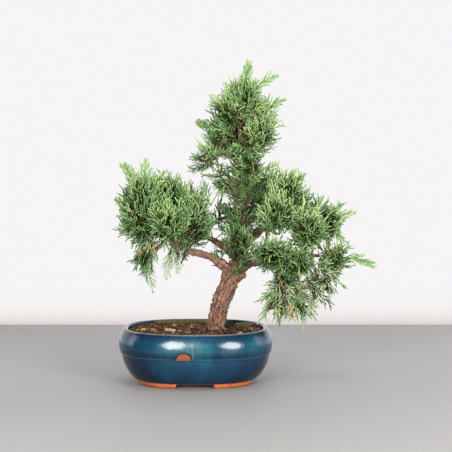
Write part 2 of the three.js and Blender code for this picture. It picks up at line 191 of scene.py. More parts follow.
def mixed(factor, first, second):
    values = {0: factor, 6: first, 7: second}
    tree = next(value.id_data for value in values.values() if isinstance(value, bpy.types.NodeSocket))
    inputs = {key: (*value, 1) if isinstance(value, tuple) else value for key, value in values.items()}
    return addNode(tree, "ShaderNodeMix", inputs, data_type="RGBA").outputs[2]


def blended(factor, first, second):
    # a value between two others
    return addNode(factor.id_data, "ShaderNodeMix", {"Factor": factor, "A": first, "B": second}).outputs[0]


def maths(operation, first, second=0.5, clamp=False):
    inputs = {0: first, 1: second}
    return addNode(first.id_data, "ShaderNodeMath", inputs, operation=operation, use_clamp=clamp).outputs[0]


def times(first, *others):
    for other in others:
        first = maths("MULTIPLY", first, other)
    return first


def plus(first, *others):
    for other in others:
        first = maths("ADD", first, other)
    return first


def minus(first, second):
    return maths("SUBTRACT", first, second)


def rising(value, low, high, start=0.0, end=1.0):
    ends = {"Value": value, "From Min": low, "From Max": high, "To Min": start, "To Max": end}
    return addNode(value.id_data, "ShaderNodeMapRange", ends).outputs[0]


def objectPlace(tree):
    return addNode(tree, "ShaderNodeTexCoord").outputs["Object"]


def axesOf(vector):
    return addNode(vector.id_data, "ShaderNodeSeparateXYZ", {"Vector": vector}).outputs


def cloudy(vector, scale, detail, roughness=0.5):
    inputs = {"Vector": vector, "Scale": scale, "Detail": detail, "Roughness": roughness}
    return addNode(vector.id_data, "ShaderNodeTexNoise", inputs).outputs["Fac"]


def cells(vector, scale):
    return addNode(vector.id_data, "ShaderNodeTexVoronoi", {"Vector": vector, "Scale": scale}).outputs["Distance"]


def bumped(shader, height, distance, strength):
    bump = addNode(height.id_data, "ShaderNodeBump", {"Height": height, "Distance": distance, "Strength": strength})
    feed(shader.inputs["Normal"], bump.outputs["Normal"])


# shader groups that several finishes use

def newGroup(name, sizes):
    # plain numbers in, one mask out
    group = bpy.data.node_groups.new(name, "ShaderNodeTree")
    for label, value in sizes.items():
        group.interface.new_socket(label, in_out="INPUT", socket_type="NodeSocketFloat").default_value = value
    group.interface.new_socket("Mask", in_out="OUTPUT", socket_type="NodeSocketFloat")
    return group, group.nodes.new("NodeGroupInput").outputs, group.nodes.new("NodeGroupOutput").inputs["Mask"]


def makeMottleGroup():
    # two sizes of blotches from the object's own place, as one mask
    group, given, mask = newGroup("mottle", {"Coarse": 60.0, "Fine": 400.0, "Share": 0.4})
    place = objectPlace(group)
    feed(mask, blended(given["Share"], cloudy(place, given["Coarse"], 3.0), cloudy(place, given["Fine"], 4.0)))
    return group


def makeSpeckGroup():
    # small round specks of an even size
    group, given, mask = newGroup("specks", {"Scale": 500.0, "Size": 0.2})
    feed(mask, maths("LESS_THAN", cells(objectPlace(group), given["Scale"]), given["Size"]))
    return group


mottleGroup, speckGroup = makeMottleGroup(), makeSpeckGroup()


def mottle(tree, coarse, fine, share=0.4):
    sizes = {"Coarse": coarse, "Fine": fine, "Share": share}
    return addNode(tree, "ShaderNodeGroup", sizes, node_tree=mottleGroup).outputs["Mask"]


def specks(tree, scale, size):
    return addNode(tree, "ShaderNodeGroup", {"Scale": scale, "Size": size}, node_tree=speckGroup).outputs["Mask"]


print("helpers and shader groups ready")


# camera, light and stage

camera = {"side": 31.6, "distance": 2200, "height": 384, "down": 5.72, "lens": 169.4, "film": 36, "reach": 100}


def makeCamera():
    data = bpy.data.cameras.new("camera")
    data.lens, data.sensor_width, data.clip_end = camera["lens"], camera["film"], camera["reach"]
    obj = placed(bpy.data.objects.new("camera", data))
    obj.location = ((potMiddle[0] + camera["side"]) * mm, (potMiddle[1] - camera["distance"]) * mm,
                    camera["height"] * mm)
    obj.rotation_euler = (math.radians(90 - camera["down"]), 0, 0)
    bpy.context.scene.camera = obj


makeCamera()

# where each lamp stands in metres, how wide and tall it is, its watts and its tint
lamps = {
    "rearSoft": ((0.3, 1.5, 1.25), (1.4, 1.0), 8, (1, 1, 1)),
    "leftBox": ((-0.50, -1.52, 0.46), (0.64, 0.84), 38, (1.0, 0.985, 0.96)),
    "rightBox": ((0.88, -1.36, 0.44), (0.92, 0.74), 42, (1.0, 0.985, 0.96)),
    "overhead": ((0.1, -0.35, 1.7), (1.1, 0.9), 12, (1, 1, 1)),
    "leftWall": ((-1.6, 0.25, 0.5), (0.7, 0.9), 6.4, (0.97, 0.98, 1.0)),
    "rightWall": ((1.6, 0.25, 0.5), (0.7, 0.9), 5, (0.97, 0.98, 1.0)),
}
lampAim = Vector((0, 0, 0.12))


def makeLamps():
    for name, (place, size, power, tint) in lamps.items():
        light = bpy.data.lights.new(name, "AREA")
        light.shape = "ELLIPSE" if name.endswith("Box") else "RECTANGLE"
        light.size, light.size_y = size
        light.energy, light.color = power, tint
        obj = placed(bpy.data.objects.new(name, light))
        obj.location = place
        obj.rotation_euler = (lampAim - Vector(place)).to_track_quat("-Z", "Y").to_euler()


makeLamps()

room = {"strength": 0.31, "dim": (0.16, 0.17, 0.19), "bright": (0.93, 0.95, 1.0), "seen": (0.93, 0.91, 0.925, 1.0)}


def makeWorld():
    # a soft room that is brighter overhead than in front of the table
    world = bpy.data.worlds.new("studio")
    bpy.context.scene.world = world
    world.use_nodes = True
    tree = world.node_tree
    axes = axesOf(addNode(tree, "ShaderNodeTexCoord").outputs["Generated"])
    light = maths("MAXIMUM", rising(axes[2], 0.0, 0.9), rising(axes[1], -0.4, 0.7))
    background = tree.nodes["Background"]
    feed(background.inputs["Color"], ramp(light, [(0.0, room["dim"]), (1.0, room["bright"])]))
    background.inputs["Strength"].default_value = room["strength"]
    # what is seen past the stage is plain and pale
    plain = addNode(tree, "ShaderNodeBackground", {"Color": room["seen"]})
    seen = addNode(tree, "ShaderNodeLightPath").outputs["Is Camera Ray"]
    both = addNode(tree, "ShaderNodeMixShader", {0: seen, 1: background.outputs[0], 2: plain.outputs[0]})
    feed(tree.nodes["World Output"].inputs["Surface"], both.outputs[0])


makeWorld()
bpy.context.scene.view_settings.view_transform = "Standard"
bpy.context.scene.view_settings.look = "None"

stage = {"floorRadius": 1500, "floorSides": 96, "wallAway": 410, "wallHalf": 6000, "wallHeight": 4000,
         "dropNear": -460, "dropFar": 408, "dropHeight": 1200}


def clearBehind(tree, shader):
    # a wall is clear from behind, so the tree can be seen from every side
    behind = addNode(tree, "ShaderNodeNewGeometry").outputs["Backfacing"]
    clear = addNode(tree, "ShaderNodeBsdfTransparent").outputs[0]
    both = addNode(tree, "ShaderNodeMixShader", {0: behind, 1: shader.outputs[0], 2: clear})
    feed(tree.nodes["Material Output"].inputs["Surface"], both.outputs[0])


def stageMesh(name, material, points, quads, tris, *hiddenFrom):
    obj = meshObject(name, points, quads, tris, smooth=False)
    obj.data.materials.append(material)
    for rays in hiddenFrom:
        setattr(obj, "visible_" + rays, False)
    return obj


def makeFloor():
    material, tree, shader = newFinish("paleTable", rough=0.6, specular=0.12)
    feed(shader.inputs["Base Color"], mixed(mottle(tree, 3, 60, 0.3), (0.225, 0.22, 0.215), (0.265, 0.26, 0.255)))
    sides = stage["floorSides"]
    turns = np.arange(sides) * 2 * np.pi / sides
    rim = np.stack([np.cos(turns), np.sin(turns), turns * 0], 1) * stage["floorRadius"]
    floor = stageMesh("floor", material, [*rim, [0, 0, 0]], (), [[k, (k + 1) % sides, sides] for k in range(sides)])


def makeWall():
    # a wide pale wall behind the tree, which lights it but isn't seen
    material, tree, shader = newFinish("paleWall", rough=0.9, glow=0.16)
    colour = mixed(mottle(tree, 1, 8, 0.3), (0.55, 0.54, 0.565), (0.60, 0.59, 0.615))
    feed(shader.inputs["Base Color"], colour)
    feed(shader.inputs["Emission Color"], colour)
    clearBehind(tree, shader)
    half, away, tall = stage["wallHalf"], stage["wallAway"], stage["wallHeight"]
    corners = [[-half, away, 0], [half, away, 0], [half, away, tall], [-half, away, tall]]
    wall = stageMesh("wall", material, corners, [[0, 1, 2, 3]], (), "shadow", "camera")


def makeBackdrop():
    # a plain backdrop on all four sides; it gives no light, and it is a little greyer at its foot, a painted shade
    # where it meets the floor
    material, tree, shader = newFinish("paleBackdrop", specular=0, glow=1)
    shader.inputs["Base Color"].default_value = (0, 0, 0, 1)
    feed(shader.inputs["Emission Color"], ramp(rising(axesOf(objectPlace(tree))[2], 0.0, 0.04), [
        (0.0, (0.686, 0.638, 0.624)), (0.08, (0.76, 0.70, 0.69)), (0.14, (0.80, 0.75, 0.735)),
        (0.25, (0.85, 0.81, 0.80)), (0.5, (0.90, 0.87, 0.865)), (1.0, (0.93, 0.91, 0.925)),
    ]))
    clearBehind(tree, shader)
    near, far = stage["dropNear"], stage["dropFar"]
    plan = [(near, far), (-near, far), (-near, near), (near, near)]
    corners = [[x, y, z] for z in (0, stage["dropHeight"]) for x, y in plan]
    backdrop = stageMesh("backdrop", material, corners, ringQuads(np.arange(4), np.arange(4, 8)), (),
                         "shadow", "diffuse", "glossy", "transmission", "volume_scatter")


makeFloor()
makeWall()
makeBackdrop()
print("camera, lights and stage ready")


# pot

pot = {
    "halfLength": 80, "halfDepth": 64, "ovalPower": 2.5, "sides": 144, "patch": (-11.5, 32.0, 8.4, 8.0), "runX": -2.4,
    "notchHalf": 19, "footSteps": 26, "drainSpacing": 56, "drainRadius": 7, "wobble": 0.22, "wobbleSize": 34,
}

# radius and height round the outside and back down the inside
potOutline = [
    (59.5, 5), (61.9, 5.1), (63.8, 5.9), (65.7, 7.6), (67.7, 9.5), (70.1, 12.6), (72.3, 16.3), (74.0, 19.8),
    (75.4, 23.3), (76.4, 27.2), (77.1, 30.9), (77.3, 31.9), (77.75, 32.7), (78.5, 33.2), (79.0, 34.2),
    (79.5, 36.6), (79.9, 39.2), (80, 41.2), (79.9, 43.9), (79.4, 47.0), (78.5, 50), (77.1, 53.2), (75.7, 55.6),
    (74.6, 57.0), (73.7, 57.8), (72.8, 58), (71.6, 57.9), (70.7, 57.3), (70.1, 56.2), (70, 54.5), (70, 46.4),
    (69, 29), (64, 16.2), (53, 10),
]
# radius, height and how far the end slopes in, round a foot
footSection = [(61.8, 5.6, 0.0), (61.0, 2.6, 0.8), (59.2, 0.5, 2.2), (58.0, 0.0, 2.8), (47.0, 0.0, 2.8),
               (45.4, 0.8, 2.2), (45.0, 5.6, 0.0)]
depthShare = pot["halfDepth"] / pot["halfLength"]


def ovalPoint(radius, turn):
    # the pot's rounded oval plan
    power = 2 / pot["ovalPower"]
    c, s = np.cos(turn), np.sin(turn)
    return np.stack([radius * np.sign(c) * np.abs(c) ** power,
                     radius * depthShare * np.sign(s) * np.abs(s) ** power], -1)


def evenTurns(count):
    # turns that step evenly along the oval's edge
    fine = np.linspace(0, 2 * np.pi, 4001)
    edge = ovalPoint(pot["halfLength"], fine)
    walked = np.concatenate([[0], np.cumsum(np.linalg.norm(np.diff(edge, axis=0), axis=1))])
    return np.interp(np.linspace(0, walked[-1], count, endpoint=False), walked, fine)


def makeFeet():
    # four corner feet, each a bent bar with sloping ends
    points, quads = [], []
    size, steps = len(footSection), pot["footSteps"]
    for signX, signY in ((-1, -1), (-1, 1), (1, -1), (1, 1)):
        base = len(points)
        for share in np.arange(steps) / (steps - 1):
            for radius, height, inset in footSection:
                notch = pot["notchHalf"] + inset
                start = math.asin((notch / (radius * depthShare)) ** (pot["ovalPower"] / 2))
                end = math.acos((notch / radius) ** (pot["ovalPower"] / 2))
                x, y = ovalPoint(radius, np.array(start + (end - start) * share))
                points.append([signX * x, signY * y, height])
        rings = base + np.arange(steps * size).reshape(steps, size)
        for first, second in zip(rings, rings[1:]):
            quads += list(ringQuads(first, second) if signX == signY else ringQuads(second, first))
        for ring in (rings[0], rings[-1]):
            quads += [ring[[0, j, j + 1, j + 2]] for j in range(1, size - 2, 2)]
    return np.array(points), np.array(quads)


def potColour(tree, x, y, z, pooled, patch, border, bare, edge):
    # teal and navy glaze, mottled where it pools, and darker towards the lip; darker low down and at the two ends is a
    # painted shade, strongest low on the ends
    heightShade = times(rising(z, 0.004, 0.040), rising(z, 0.057, 0.048))
    # a painted shade at the two ends, strongest low down
    ends = times(rising(maths("ABSOLUTE", x), 0.036, 0.076), rising(z, 0.030, 0.048, 1.0, 0.3))
    shade = plus(times(heightShade, 0.30), times(pooled, 0.72), times(mottle(tree, 90, 420, 0.5), 0.22))
    colour = ramp(minus(shade, times(ends, 0.34)), [
        (0.16, (0.001, 0.002, 0.006)), (0.36, (0.0015, 0.006, 0.018)), (0.52, (0.002, 0.018, 0.040)),
        (0.66, (0.003, 0.031, 0.057)), (0.80, (0.009, 0.060, 0.084)), (0.95, (0.035, 0.12, 0.14)),
    ])
    # pale along the lip; a painted highlight along the top of the band; a painted shade above the band, patchy where
    # the glaze pools, and in the groove below it
    thin = ramp(mottle(tree, 90, 300), [(0.3, (0.3,) * 3), (0.6, (1,) * 3)])
    # a painted shade above the band where the body faces down, patchy where the glaze pools
    poolAndShade = times(rising(z, 0.0332, 0.0345), rising(z, 0.0356, 0.0412, 1.0, 0.0), rising(pooled, 0.38, 0.62, 1.0, 0.3))
    # a painted highlight on the top of the band's ridge
    bandHighlight = times(rising(z, 0.0316, 0.0326), rising(z, 0.0328, 0.0338, 1.0, 0.0))
    # a painted shade in the groove under the band
    grooveShade = times(rising(z, 0.0300, 0.0314), rising(z, 0.0314, 0.0322, 1.0, 0.0))
    # one ochre run down the front, beside the bare patch
    wander = times(minus(mottle(tree, 60, 200), 0.5), 0.003)
    beside = maths("ABSOLUTE", plus(minus(x, pot["runX"] * mm), wander))
    run = times(rising(beside, 0.0, 0.0011, 1.0, 0.0), maths("LESS_THAN", y, 0.0), rising(z, 0.031, 0.036),
                rising(z, 0.050, 0.044))
    clay = ramp(mottle(tree, 120, 900, 0.5), [
        (0.3, (0.16, 0.036, 0.009)), (0.5, (0.26, 0.062, 0.016)), (0.7, (0.34, 0.10, 0.032)),
    ])
    # each layer over the last: pale and dark specks, lip, painted shade above the band, painted highlight on the band,
    # painted shade in the groove, run, dark edges, then clay
    for mask, layer in (
        (times(specks(tree, 420, 0.15), 0.20), (0.06, 0.15, 0.18)),
        (times(specks(tree, 260, 0.13), 0.6), (0.002, 0.004, 0.009)),
        (times(rising(z, 0.0568, 0.0580), thin, 0.6), (0.20, 0.17, 0.13)),
        (times(poolAndShade, 0.88), (0.002, 0.007, 0.018)),
        (times(bandHighlight, 0.3), (0.04, 0.11, 0.13)),
        (times(grooveShade, 0.5), (0.003, 0.008, 0.018)),
        (times(run, 0.55), (0.16, 0.13, 0.055)),
        (rising(minus(z, edge), 0.0, 0.0022, 0.85, 0.0), (0.004, 0.006, 0.010)),
        (times(border, 0.85), (0.006, 0.007, 0.009)),
        (patch, mixed(0.55, clay, (0.075, 0.022, 0.010))),
        (bare, clay),
    ):
        colour = mixed(mask, colour, layer)
    return colour


def makeGlazeMaterial():
    material, tree, shader = newFinish("blueGlaze", specular=0.38)
    place = objectPlace(tree)
    moved = addNode(tree, "ShaderNodeVectorMath", {0: place, 1: tuple(-potMiddle * mm)}, operation="ADD")
    x, y, z = axesOf(moved.outputs[0])
    runs = addNode(tree, "ShaderNodeMapping", {"Vector": place, "Scale": (1.0, 1.0, 0.45)}).outputs[0]
    pooled = cloudy(runs, 26.0, 4.0, 0.6)

    # bare clay: the feet and underside, and a half-moon patch on the front
    edge = plus(times(mottle(tree, 70, 300), 0.0016), 0.0050)
    bare = maths("LESS_THAN", z, edge)
    patchX, patchZ, patchWide, patchTall = [value * mm for value in pot["patch"]]
    across = maths("DIVIDE", minus(x, patchX), patchWide)
    up = maths("DIVIDE", minus(z, patchZ), patchTall)
    ring = maths("SQRT", plus(times(across, across), times(up, up)))
    ring = plus(ring, times(minus(mottle(tree, 160, 600), 0.5), 0.3))
    onFront = times(maths("LESS_THAN", y, 0.0), maths("GREATER_THAN", up, 0.0))
    patch = times(maths("LESS_THAN", ring, 0.88), onFront)
    border = times(rising(ring, 1.0, 1.3, 1.0, 0.0), onFront)
    feed(shader.inputs["Base Color"], potColour(tree, x, y, z, pooled, patch, border, bare, edge))

    unglazed = maths("MAXIMUM", patch, bare)
    feed(shader.inputs["Roughness"], blended(unglazed, rising(pooled, 0.3, 0.7, 0.15, 0.22), 0.85))
    bumped(shader, blended(unglazed, cloudy(place, 150.0, 1.0), cloudy(place, 1400.0, 2.0)), 0.0003, 0.5)
    return material


def makePot():
    count = pot["sides"]
    turns = evenTurns(count)
    # corners cut a little, keeping the two ends
    line = np.array(potOutline, float)
    cut = np.stack([line[:-1] * 0.75 + line[1:] * 0.25, line[:-1] * 0.25 + line[1:] * 0.75], 1).reshape(-1, 2)
    outline = np.concatenate([line[:1], cut, line[-1:]])
    body = np.concatenate([atHeight(ovalPoint(radius, turns), height) for radius, height in outline])
    rings = list(np.arange(len(body)).reshape(-1, count))
    quads = [ringQuads(first, second) for first, second in zip(rings, rings[1:])]
    # a hand-thrown body is never quite true
    wobble = lumps(body, pot["wobbleSize"], 3.1) * pot["wobble"]
    points = [body + unit(body * [1, 1, 0]) * wobble[:, None]]
    # the flat underside and the inner floor, each round the two drain holes
    made = len(body)
    holes = []
    for radius, height, ring in ((59.5, 5, rings[0]), (53, 10, rings[-1])):
        outer = ovalPoint(radius, turns)
        aim = np.zeros_like(outer)
        for side in (-1, 1):
            mask = outer[:, 0] * side > 0
            centre = np.array([side * pot["drainSpacing"] / 2, 0])
            aim[mask] = centre + unit(outer[mask] - centre * 0.8) * pot["drainRadius"]
        for share in (0.2, 0.4, 0.6, 0.8, 1.0):
            points.append(atHeight(outer * (1 - share) + aim * share, height))
            inner = made + np.arange(count)
            quads.append(ringQuads(ring, inner)[:, ::-1] if height == 5 else ringQuads(ring, inner))
            ring = inner
            made += count
        holes.append(ring)
    quads.append(ringQuads(holes[1], holes[0]))
    feet, feetQuads = makeFeet()
    obj = meshObject("pot_body", np.concatenate([*points, feet]) + potMiddle,
                     np.concatenate([*quads, feetQuads + made]))
    settle(obj, "glaze", makeGlazeMaterial(), "pot")


makePot()
print("pot made")

# wood: the same lines as the solid trunk, in millimetres from the soil at the pot's middle

soilLine = 55
limbs = {
    "trunk": ([(21, -8, -16), (21, -6, 10), (27, -4, 32), (37, -1, 54), (45, 3, 78), (50, 6, 110), (52, 4, 150),
               (46, 2, 195), (48, 1, 234)], (9.0, 9.0, 9.6, 10.4, 6.2, 4.5, 3.6, 2.8, 1.5)),
    "leftLow": ([(37, -1, 57), (27, -6, 70), (14, -9, 78), (-6, -12, 84), (-32, -10, 98), (-54, -10, 114)],
                (6.0, 5.0, 4.0, 3.3, 2.5, 1.5)),
    "leftHigh": ([(43, 3, 74), (29, 9, 86), (14, 14, 95), (-2, 18, 112), (-12, 26, 130)], (4.2, 3.6, 3.0, 2.2, 1.4)),
    "rightHigh": ([(45, 4, 78), (60, 6, 96), (76, 8, 111), (94, 6, 124), (114, 8, 128)], (4.4, 3.8, 3.2, 2.5, 1.5)),
    "rightMiddle": ([(42, 0, 60), (56, -6, 69), (74, -9, 73), (96, -8, 76), (122, -2, 78), (142, 3, 76)],
                    (4.8, 4.2, 3.6, 2.9, 2.1, 1.3)),
    "rightDrooping": ([(74, -9, 73), (86, -9, 63), (92, -8, 50), (98, -4, 34)], (3.0, 2.6, 2.1, 1.2)),
    "backBranch": ([(50, 6, 104), (56, 20, 122), (66, 31, 138)], (3.4, 2.6, 1.4)),
    "frontBranch": ([(47, 4, 86), (46, -8, 92), (52, -22, 98)], (3.0, 2.3, 1.3)),
    "crownLeft": ([(49, 3, 168), (34, 5, 184), (20, 8, 196)], (2.6, 2.0, 1.2)),
    "crownRight": ([(47, 2, 188), (58, 0, 202), (70, -3, 210)], (2.4, 1.9, 1.2)),
    "stub": ([(40, -3, 54), (47, -8, 57), (51, -11, 58)], (3.8, 3.4, 3)),
    "rootLeft": ([(21, -7, 0), (12, -10, -3), (4, -12, -9)], (6.5, 4.2, 2.2)),
    "rootFront": ([(21, -8, 0), (19, -16, -3), (17, -23, -9)], (6.5, 4.2, 2.0)),
    "rootRight": ([(22, -6, 0), (32, -9, -3), (39, -11, -9)], (6.0, 4.0, 2.0)),
}
woodShape = {"step": 0.8, "voxel": 0.6, "blend": 1.4, "sides": 14, "near": 16, "batch": 12000, "apart": 300}


def curveThrough(line, radii, spacing):
    # a smooth line through the points, with a radius at each sample
    pts = np.array(line, float)
    ghost = np.concatenate([[2 * pts[0] - pts[1]], pts, [2 * pts[-1] - pts[-2]]])
    out, outRadii = [], []
    for i in range(len(pts) - 1):
        p0, p1, p2, p3 = ghost[i:i + 4]
        count = max(2, int(np.linalg.norm(p2 - p1) / spacing))
        t = np.linspace(0, 1, count, endpoint=i == len(pts) - 2)[:, None]
        out.append(0.5 * (2 * p1 + (p2 - p0) * t + (2 * p0 - 5 * p1 + 4 * p2 - p3) * t ** 2
                          + (3 * p1 - p0 - 3 * p2 + p3) * t ** 3))
        outRadii.append(radii[i] + (radii[i + 1] - radii[i]) * t[:, 0])
    return np.concatenate(out), np.concatenate(outRadii)


def tube(line, radii, sides=4):
    # a cord with closed ends; its sides are an even number
    line = np.asarray(line, float)
    along = unit(np.gradient(line, axis=0))
    side = unit(np.cross(along, [0.31, 0.87, 0.37]))
    other = np.cross(along, side)
    turns = np.arange(sides) * 2 * np.pi / sides + 0.6
    ring = side[:, None] * np.cos(turns)[None, :, None] + other[:, None] * np.sin(turns)[None, :, None]
    points = (line[:, None] + ring * np.asarray(radii)[:, None, None]).reshape(-1, 3)
    rows = np.arange(len(line) - 1)[:, None] * sides
    a = np.arange(sides)[None]
    b = (a + 1) % sides
    quads = np.stack([rows + a, rows + b, rows + b + sides, rows + a + sides], -1).reshape(-1, 4)
    last = (len(line) - 1) * sides
    caps = [[0, j + 2, j + 1, j] for j in range(1, sides - 1, 2)]
    caps += [[last, last + j, last + j + 1, last + j + 2] for j in range(1, sides - 1, 2)]
    return points, np.concatenate([quads, caps])


class Bundle:
    # gathers cords into one mesh, with (tone, youth) at every point; the spray later adds painted light and shade to
    # both
    def __init__(self):
        self.points, self.quads, self.uv, self.count = [], [], [], 0

    def add(self, points, quads, uv=None):
        self.points.append(points)
        self.quads.append(quads + self.count)
        self.uv.append(np.zeros((len(points), 2)) if uv is None else uv)
        self.count += len(points)

    def arrays(self):
        return np.concatenate(self.points), np.concatenate(self.quads), np.concatenate(self.uv)


treeFoot = potMiddle + np.array([0, 0, soilLine])
woodLines = {}
for limbName, (limbPoints, limbRadii) in limbs.items():
    limbLine, lineRadii = curveThrough(limbPoints, limbRadii, woodShape["step"])
    woodLines[limbName] = (limbLine + treeFoot, lineRadii)


def woodPlace(points):
    # smooth-joined distance to the limbs' skin, the way out of it, and where on the nearest limb each point lies
    total, thick, best = np.zeros(len(points)), np.zeros(len(points)), np.full(len(points), 1e9)
    pull, grain = np.zeros((len(points), 3)), np.zeros((len(points), 3))
    for order, (centres, radii) in enumerate(woodLines.values()):
        tangent = unit(np.gradient(centres, axis=0))
        walked = np.concatenate([[0], np.cumsum(np.linalg.norm(np.diff(centres, axis=0), axis=1))])
        low, high = centres.min(0) - woodShape["near"], centres.max(0) + woodShape["near"]
        close = np.flatnonzero(((points > low) & (points < high)).all(1))
        for part in np.array_split(close, max(1, len(close) // woodShape["batch"])):
            p = points[part]
            gap = np.sqrt(np.maximum(0, (p ** 2).sum(1)[:, None] - 2 * p @ centres.T
                                     + (centres ** 2).sum(1)[None])) - radii[None]
            near = gap.argmin(1)
            skin = gap[np.arange(len(part)), near]
            weight = np.exp(-skin * woodShape["blend"])
            total[part] += weight
            pull[part] += unit(p - centres[near]) * weight[:, None]
            closer = skin < best[part]
            ids = part[closer]
            best[ids] = skin[closer]
            spot = near[closer]
            side = unit(np.array([0, 1, 0]) - tangent[spot] * tangent[spot][:, 1:2])
            other = np.cross(tangent[spot], side)
            offset = p[closer] - centres[spot]
            turn = np.arctan2((offset * side).sum(1), (offset * other).sum(1))
            grain[ids] = np.stack([np.cos(turn) * radii[spot], np.sin(turn) * radii[spot],
                                   walked[spot] + order * woodShape["apart"]], 1)
            thick[ids] = radii[spot]
    return -np.log(total + 1e-12) / woodShape["blend"], unit(pull), grain, thick


def plates(points, size, seed):
    # height of the plate each point is on, and how near it is to the crack round that plate
    shift = Vector((seed, seed * 0.7, seed * 1.9))
    height, edge = np.zeros(len(points)), np.zeros(len(points))
    for k, p in enumerate(points):
        distance, cell = noise.voronoi(Vector(p) / size + shift)
        edge[k] = distance[1] - distance[0]
        height[k] = noise.cell(cell[0] * 3.7 + shift)
    return height, edge


def makeBarkMaterial():
    material, tree, shader = newFinish("flakyBark", rough=0.85, specular=0.25)
    grain = addNode(tree, "ShaderNodeAttribute", attribute_name="grain").outputs["Vector"]
    hollow = addNode(tree, "ShaderNodeAttribute", attribute_name="hollow").outputs["Fac"]
    long = addNode(tree, "ShaderNodeMapping", {"Vector": grain, "Scale": (1.0, 1.0, 0.3)}).outputs[0]
    tone = plus(times(cloudy(long, 0.62, 6.0, 0.68), 0.6), times(cloudy(long, 2.9, 3.0), 0.4))
    colour = ramp(tone, [
        (0.37, (0.024, 0.010, 0.006)), (0.45, (0.080, 0.037, 0.022)), (0.53, (0.165, 0.088, 0.056)),
        (0.60, (0.27, 0.170, 0.122)), (0.68, (0.46, 0.34, 0.27)),
    ])
    # near-black in the cracks between plates, a painted shade
    feed(shader.inputs["Base Color"], mixed(hollow, colour, (0.022, 0.010, 0.006)))
    bumped(shader, tone, 0.0009, 0.9)
    return material


# how high each kind of unevenness stands on the thickest wood
bark = {"swell": 2.2, "plate": 1.7, "crack": 1.1, "smallPlate": 0.6, "smallCrack": 0.4, "ragged": 0.6, "sink": 0.7}
flakes = {"many": 420, "length": (3.0, 8.0), "width": (0.8, 2.0), "lift": (0.3, 1.5), "thick": 0.45, "lowest": 2}


def makeFlake(rng, place, outward, thick):
    # a thin strip that lifts off at one end
    along = unit(np.cross(np.cross(outward, [0.0, 0.0, 1.0]), outward) + rng.normal(size=3) * 0.18)
    across = unit(np.cross(outward, along))
    scale = np.clip(thick / 9, 0.5, 1.1)
    length, width = rng.uniform(*flakes["length"]) * scale, rng.uniform(*flakes["width"]) * scale
    lift = rng.uniform(*flakes["lift"]) * scale * rng.choice([-1, 1])
    strip = []
    for part in (-0.5, -0.2, 0.15, 0.5):
        middle = place + along * part * length
        stands = 0.15 + abs(lift) * max(0, part * np.sign(lift) * 2) ** 1.4
        half = width * (0.5 - 0.34 * abs(part) ** 1.5 * 2 * rng.uniform(0.5, 1))
        for side, deep in ((-1, 0), (1, 0), (1, flakes["thick"]), (-1, flakes["thick"])):
            strip.append(middle + across * side * half + outward * (stands - deep))
    rings = np.arange(16).reshape(4, 4)
    faces = [ringQuads(first, second) for first, second in zip(rings, rings[1:])]
    return np.array(strip), np.concatenate([*faces, [[3, 2, 1, 0], [12, 13, 14, 15]]])


def makeTrunk():
    rough = Bundle()
    for centres, radii in woodLines.values():
        kept = np.unique(np.append(np.arange(0, len(centres), 3), len(centres) - 1))
        rough.add(*tube(centres[kept], radii[kept], woodShape["sides"]))
    points, quads, _ = rough.arrays()
    obj = fineMesh(meshObject("trunk_wood", points, quads), woodShape["voxel"])
    points = pointsOf(obj)
    for _ in range(2):
        skin, away, grain, thick = woodPlace(points)
        points = points - away * np.clip(skin, -2.5, 2.5)[:, None]
    setPoints(obj, points)
    outward = normalsOf(obj)
    size = np.clip(thick / 9, 0.14, 1.0)
    long = grain * np.array([1, 1, 0.42])
    bent = long + np.stack([lumps(grain, 5, 2.0), lumps(grain, 5, 4.0), lumps(grain, 5, 6.0)], 1) * 1.3
    broad, broadEdge = plates(bent, 4.4, 1.3)
    small, smallEdge = plates(bent, 2.1, 5.1)
    crack = (1 - np.clip(broadEdge / 0.22, 0, 1)) * np.clip(0.6 + lumps(grain, 6, 3.0) * 1.6, 0.1, 1)
    smallCrack = (1 - np.clip(smallEdge / 0.25, 0, 1)) * np.clip(0.5 + lumps(grain, 4, 8.0) * 1.6, 0, 1)
    swell = lumps(grain * np.array([1, 1, 0.8]), 9, 9.1)
    ragged = lumps(long, 1.1, 7.7)
    rise = (swell * bark["swell"] + broad * bark["plate"] - crack * bark["crack"] + small * bark["smallPlate"]
            - smallCrack * bark["smallCrack"] + ragged * bark["ragged"])
    points = points + outward * ((rise - bark["sink"]) * size)[:, None]
    whole = Bundle()
    whole.add(points, readMesh(obj.data.loops, "vertex_index", 1, np.int32).reshape(-1, 4))
    grains = [grain]
    # how deep in a crack each point lies, for the painted shade there
    crackShades = [np.clip(crack * 0.65 + smallCrack * 0.25, 0, 1) * np.clip(size * 1.5, 0, 1)]

    rng = np.random.default_rng(8)
    able = np.flatnonzero((thick > 3.2) & (points[:, 2] > soilLine + flakes["lowest"]))
    for k in rng.choice(able, size=flakes["many"], replace=False):
        strip, faces = makeFlake(rng, points[k], outward[k], thick[k])
        whole.add(strip, faces)
        grains.append(grain[k] + (strip - points[k]) + rng.normal(size=3) * 3)
        crackShades.append(np.zeros(len(strip)))
    points, quads, _ = whole.arrays()
    bpy.data.objects.remove(obj)
    obj = meshObject("trunk_bark", points, quads)
    pointValue(obj, "grain", np.concatenate(grains))
    pointValue(obj, "hollow", np.concatenate(crackShades))
    settle(obj, "bark", makeBarkMaterial(), "trunk")
    return len(points)


print("trunk made:", makeTrunk(), "points")


# foliage: fan-shaped sprigs of scale-leaf cords, grown once and set all over each spray

